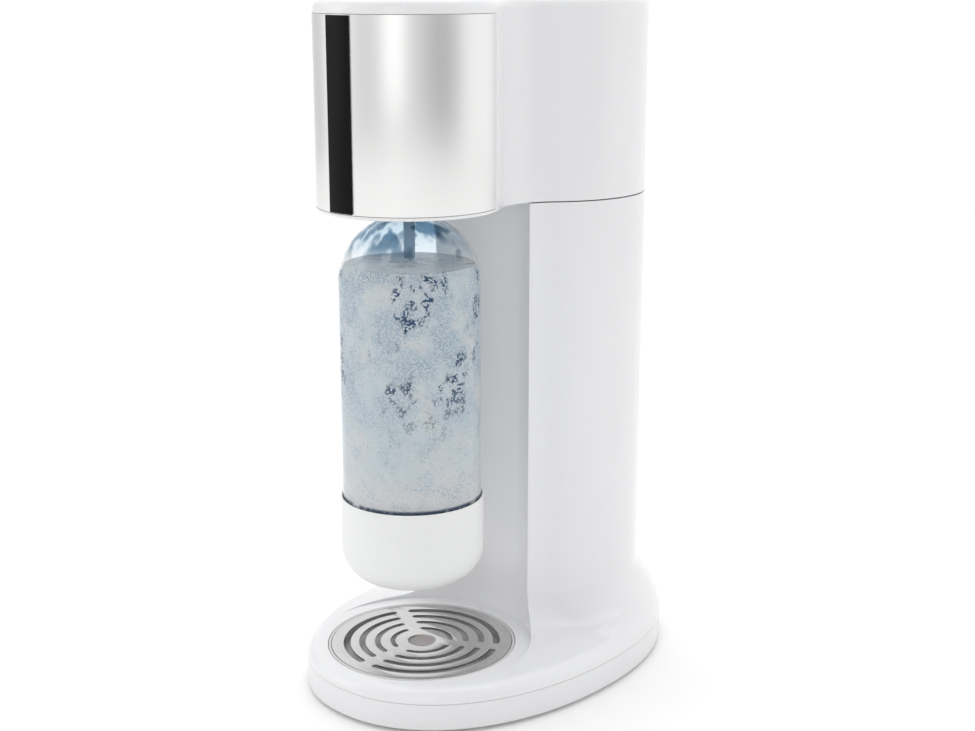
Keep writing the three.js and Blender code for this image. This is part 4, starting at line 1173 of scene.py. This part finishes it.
class MakeMechanism(bpy.types.Operator):
    """Gas cylinder, and the finishes of the frame, lever, valves, springs and screws"""

    bl_idname = "carbonator.mechanism"
    bl_label = "Mechanism"

    def execute(self, context):
        finish_piece(make_gas_cylinder(), look("cylinder"), "cylinder", "painted_steel", "gas_cylinder")
        finishes = {
            "grey_nylon": "grey",
            "lever_steel": "zinc",
            "zinc_steel": "zinc",
            "spring_steel": "spring",
            "brass": "brass",
            "rubber": "rubber",
        }
        for part in frame["record"]["subparts"]:
            key = finishes.get(part["material_slot"])
            if not key:
                continue
            node = frame["nodes"][part["node"]]
            node.data.materials.clear()
            node.data.materials.append(look(key))
        return {"FINISHED"}


class MakeStage(bpy.types.Operator):
    """Pale floor, soft light and the camera"""

    bl_idname = "carbonator.stage"
    bl_label = "Stage"

    def execute(self, context):
        make_floor()
        make_surroundings(context.scene)
        make_lights()
        make_camera(context.scene)
        return {"FINISHED"}


# ---- stage
def make_floor():
    reach = 2300
    rim = [(reach * sin(a), reach * cos(a), 0) for a in np.linspace(0, 2 * pi, 129)[:-1]]
    floor = new_piece("floor", rim, [tuple(reversed(range(len(rim))))])
    paint, shader = principled("pale_floor", (0.95, 0.95, 0.95), 0.7)
    paint.node_tree.links.new(spread(paint, noise(paint, 8), 0.65, 0.75), shader.inputs["Roughness"])
    floor.data.materials.append(paint)


def make_surroundings(scene):
    """Pale light from all round, a little weaker from the front right and from both sides."""
    world = bpy.data.worlds.new("studio")
    scene.world = world
    scene.view_settings.view_transform = "Standard"
    world.use_nodes = True
    nodes, link = world.node_tree.nodes, world.node_tree.links.new
    background = nodes["Background"]
    place = add_node(world, "ShaderNodeTexCoord").outputs["Generated"]
    weakest = radians(36)
    towards = add_node(world, "ShaderNodeVectorMath", operation="DOT_PRODUCT")
    towards.inputs[1].default_value = (sin(weakest), -cos(weakest), 0)
    link(place, towards.inputs[0])
    front = step(world, towards.outputs["Value"], -0.05, 0.7, 1.1, 0.72)
    across = add_node(world, "ShaderNodeSeparateXYZ")
    link(place, across.inputs["Vector"])
    either_side = add_node(world, "ShaderNodeMath", operation="ABSOLUTE")
    link(across.outputs["X"], either_side.inputs[0])
    sides = step(world, either_side.outputs[0], 0.88, 0.99, 1.0, 0.62)
    link(times(world, front, sides), background.inputs["Strength"])
    background.inputs["Color"].default_value = (1, 1, 1, 1)


def soft_light(name, place, aim, size, power):
    lamp = bpy.data.lights.new(name, "AREA")
    lamp.shape = "RECTANGLE"
    lamp.size, lamp.size_y = size
    lamp.energy = power
    holder = bpy.data.objects.new(name, lamp)
    holder.location = place
    holder.rotation_euler = (Vector(aim) - Vector(place)).to_track_quat("-Z", "Y").to_euler()
    bpy.context.scene.collection.objects.link(holder)


def make_lights():
    soft_light("overhead", (-0.3, 0.3, 2.2), (0, 0, 0), (2.2, 2.2), 13)
    soft_light("front", (1.15, -2.1, 0.9), (0, 0, 0.25), (1.1, 1.5), 4)
    soft_light("left", (-1.45, -1.55, 0.75), (0, 0, 0.2), (0.7, 1.2), 2.5)


def make_camera(scene):
    """The camera stands to the right of the front, a little above the head, and looks slightly down."""
    turn = radians(42)
    pitch = radians(14.0)
    distance, height, aside = 923.0, 443.0, 47.1
    back = np.array([sin(turn), -cos(turn)])
    right = np.array([cos(turn), sin(turn)])
    foot = np.array([0, BOTTLE_Y]) + back * distance + right * aside
    data = bpy.data.cameras.new("camera")
    data.lens = 57.2
    data.sensor_width = 36
    data.clip_end = 20
    camera = bpy.data.objects.new("camera", data)
    camera.matrix_world = (
        Matrix.Translation((foot[0] * MM, foot[1] * MM, height * MM))
        @ Matrix.Rotation(turn, 4, "Z")
        @ Matrix.Rotation(pi / 2 - pitch, 4, "X")
    )
    scene.collection.objects.link(camera)
    scene.camera = camera


# ---- panel and registration
OPERATORS = (MakeStage, MakeBase, MakeBody, MakeHead, MakeBottle, MakeTray, MakeMechanism)


class CarbonatorPanel(bpy.types.Panel):
    """Sizes, colours and the steps that build the machine"""

    bl_idname = "VIEW3D_PT_carbonator"
    bl_label = "Soda carbonator"
    bl_space_type = "VIEW_3D"
    bl_region_type = "UI"
    bl_category = "Carbonator"

    def draw(self, context):
        for group in (context.scene.carbonator_sizes, context.scene.carbonator_colours):
            box = self.layout.box()
            for name in group.__annotations__:
                box.prop(group, name)
        for operator in OPERATORS:
            self.layout.operator(operator.bl_idname)


CLASSES = (CarbonatorSizes, CarbonatorColours, *OPERATORS, CarbonatorPanel)


def register():
    for cls in CLASSES:
        bpy.utils.register_class(cls)
    bpy.types.Scene.carbonator_sizes = bpy.props.PointerProperty(type=CarbonatorSizes)
    bpy.types.Scene.carbonator_colours = bpy.props.PointerProperty(type=CarbonatorColours)


def unregister():
    del bpy.types.Scene.carbonator_colours
    del bpy.types.Scene.carbonator_sizes
    for cls in reversed(CLASSES):
        bpy.utils.unregister_class(cls)


def main():
    register()
    for operator in OPERATORS:
        getattr(bpy.ops.carbonator, operator.bl_idname.split(".")[1])()
    bpy.context.view_layer.update()


if __name__ == "__main__":
    main()
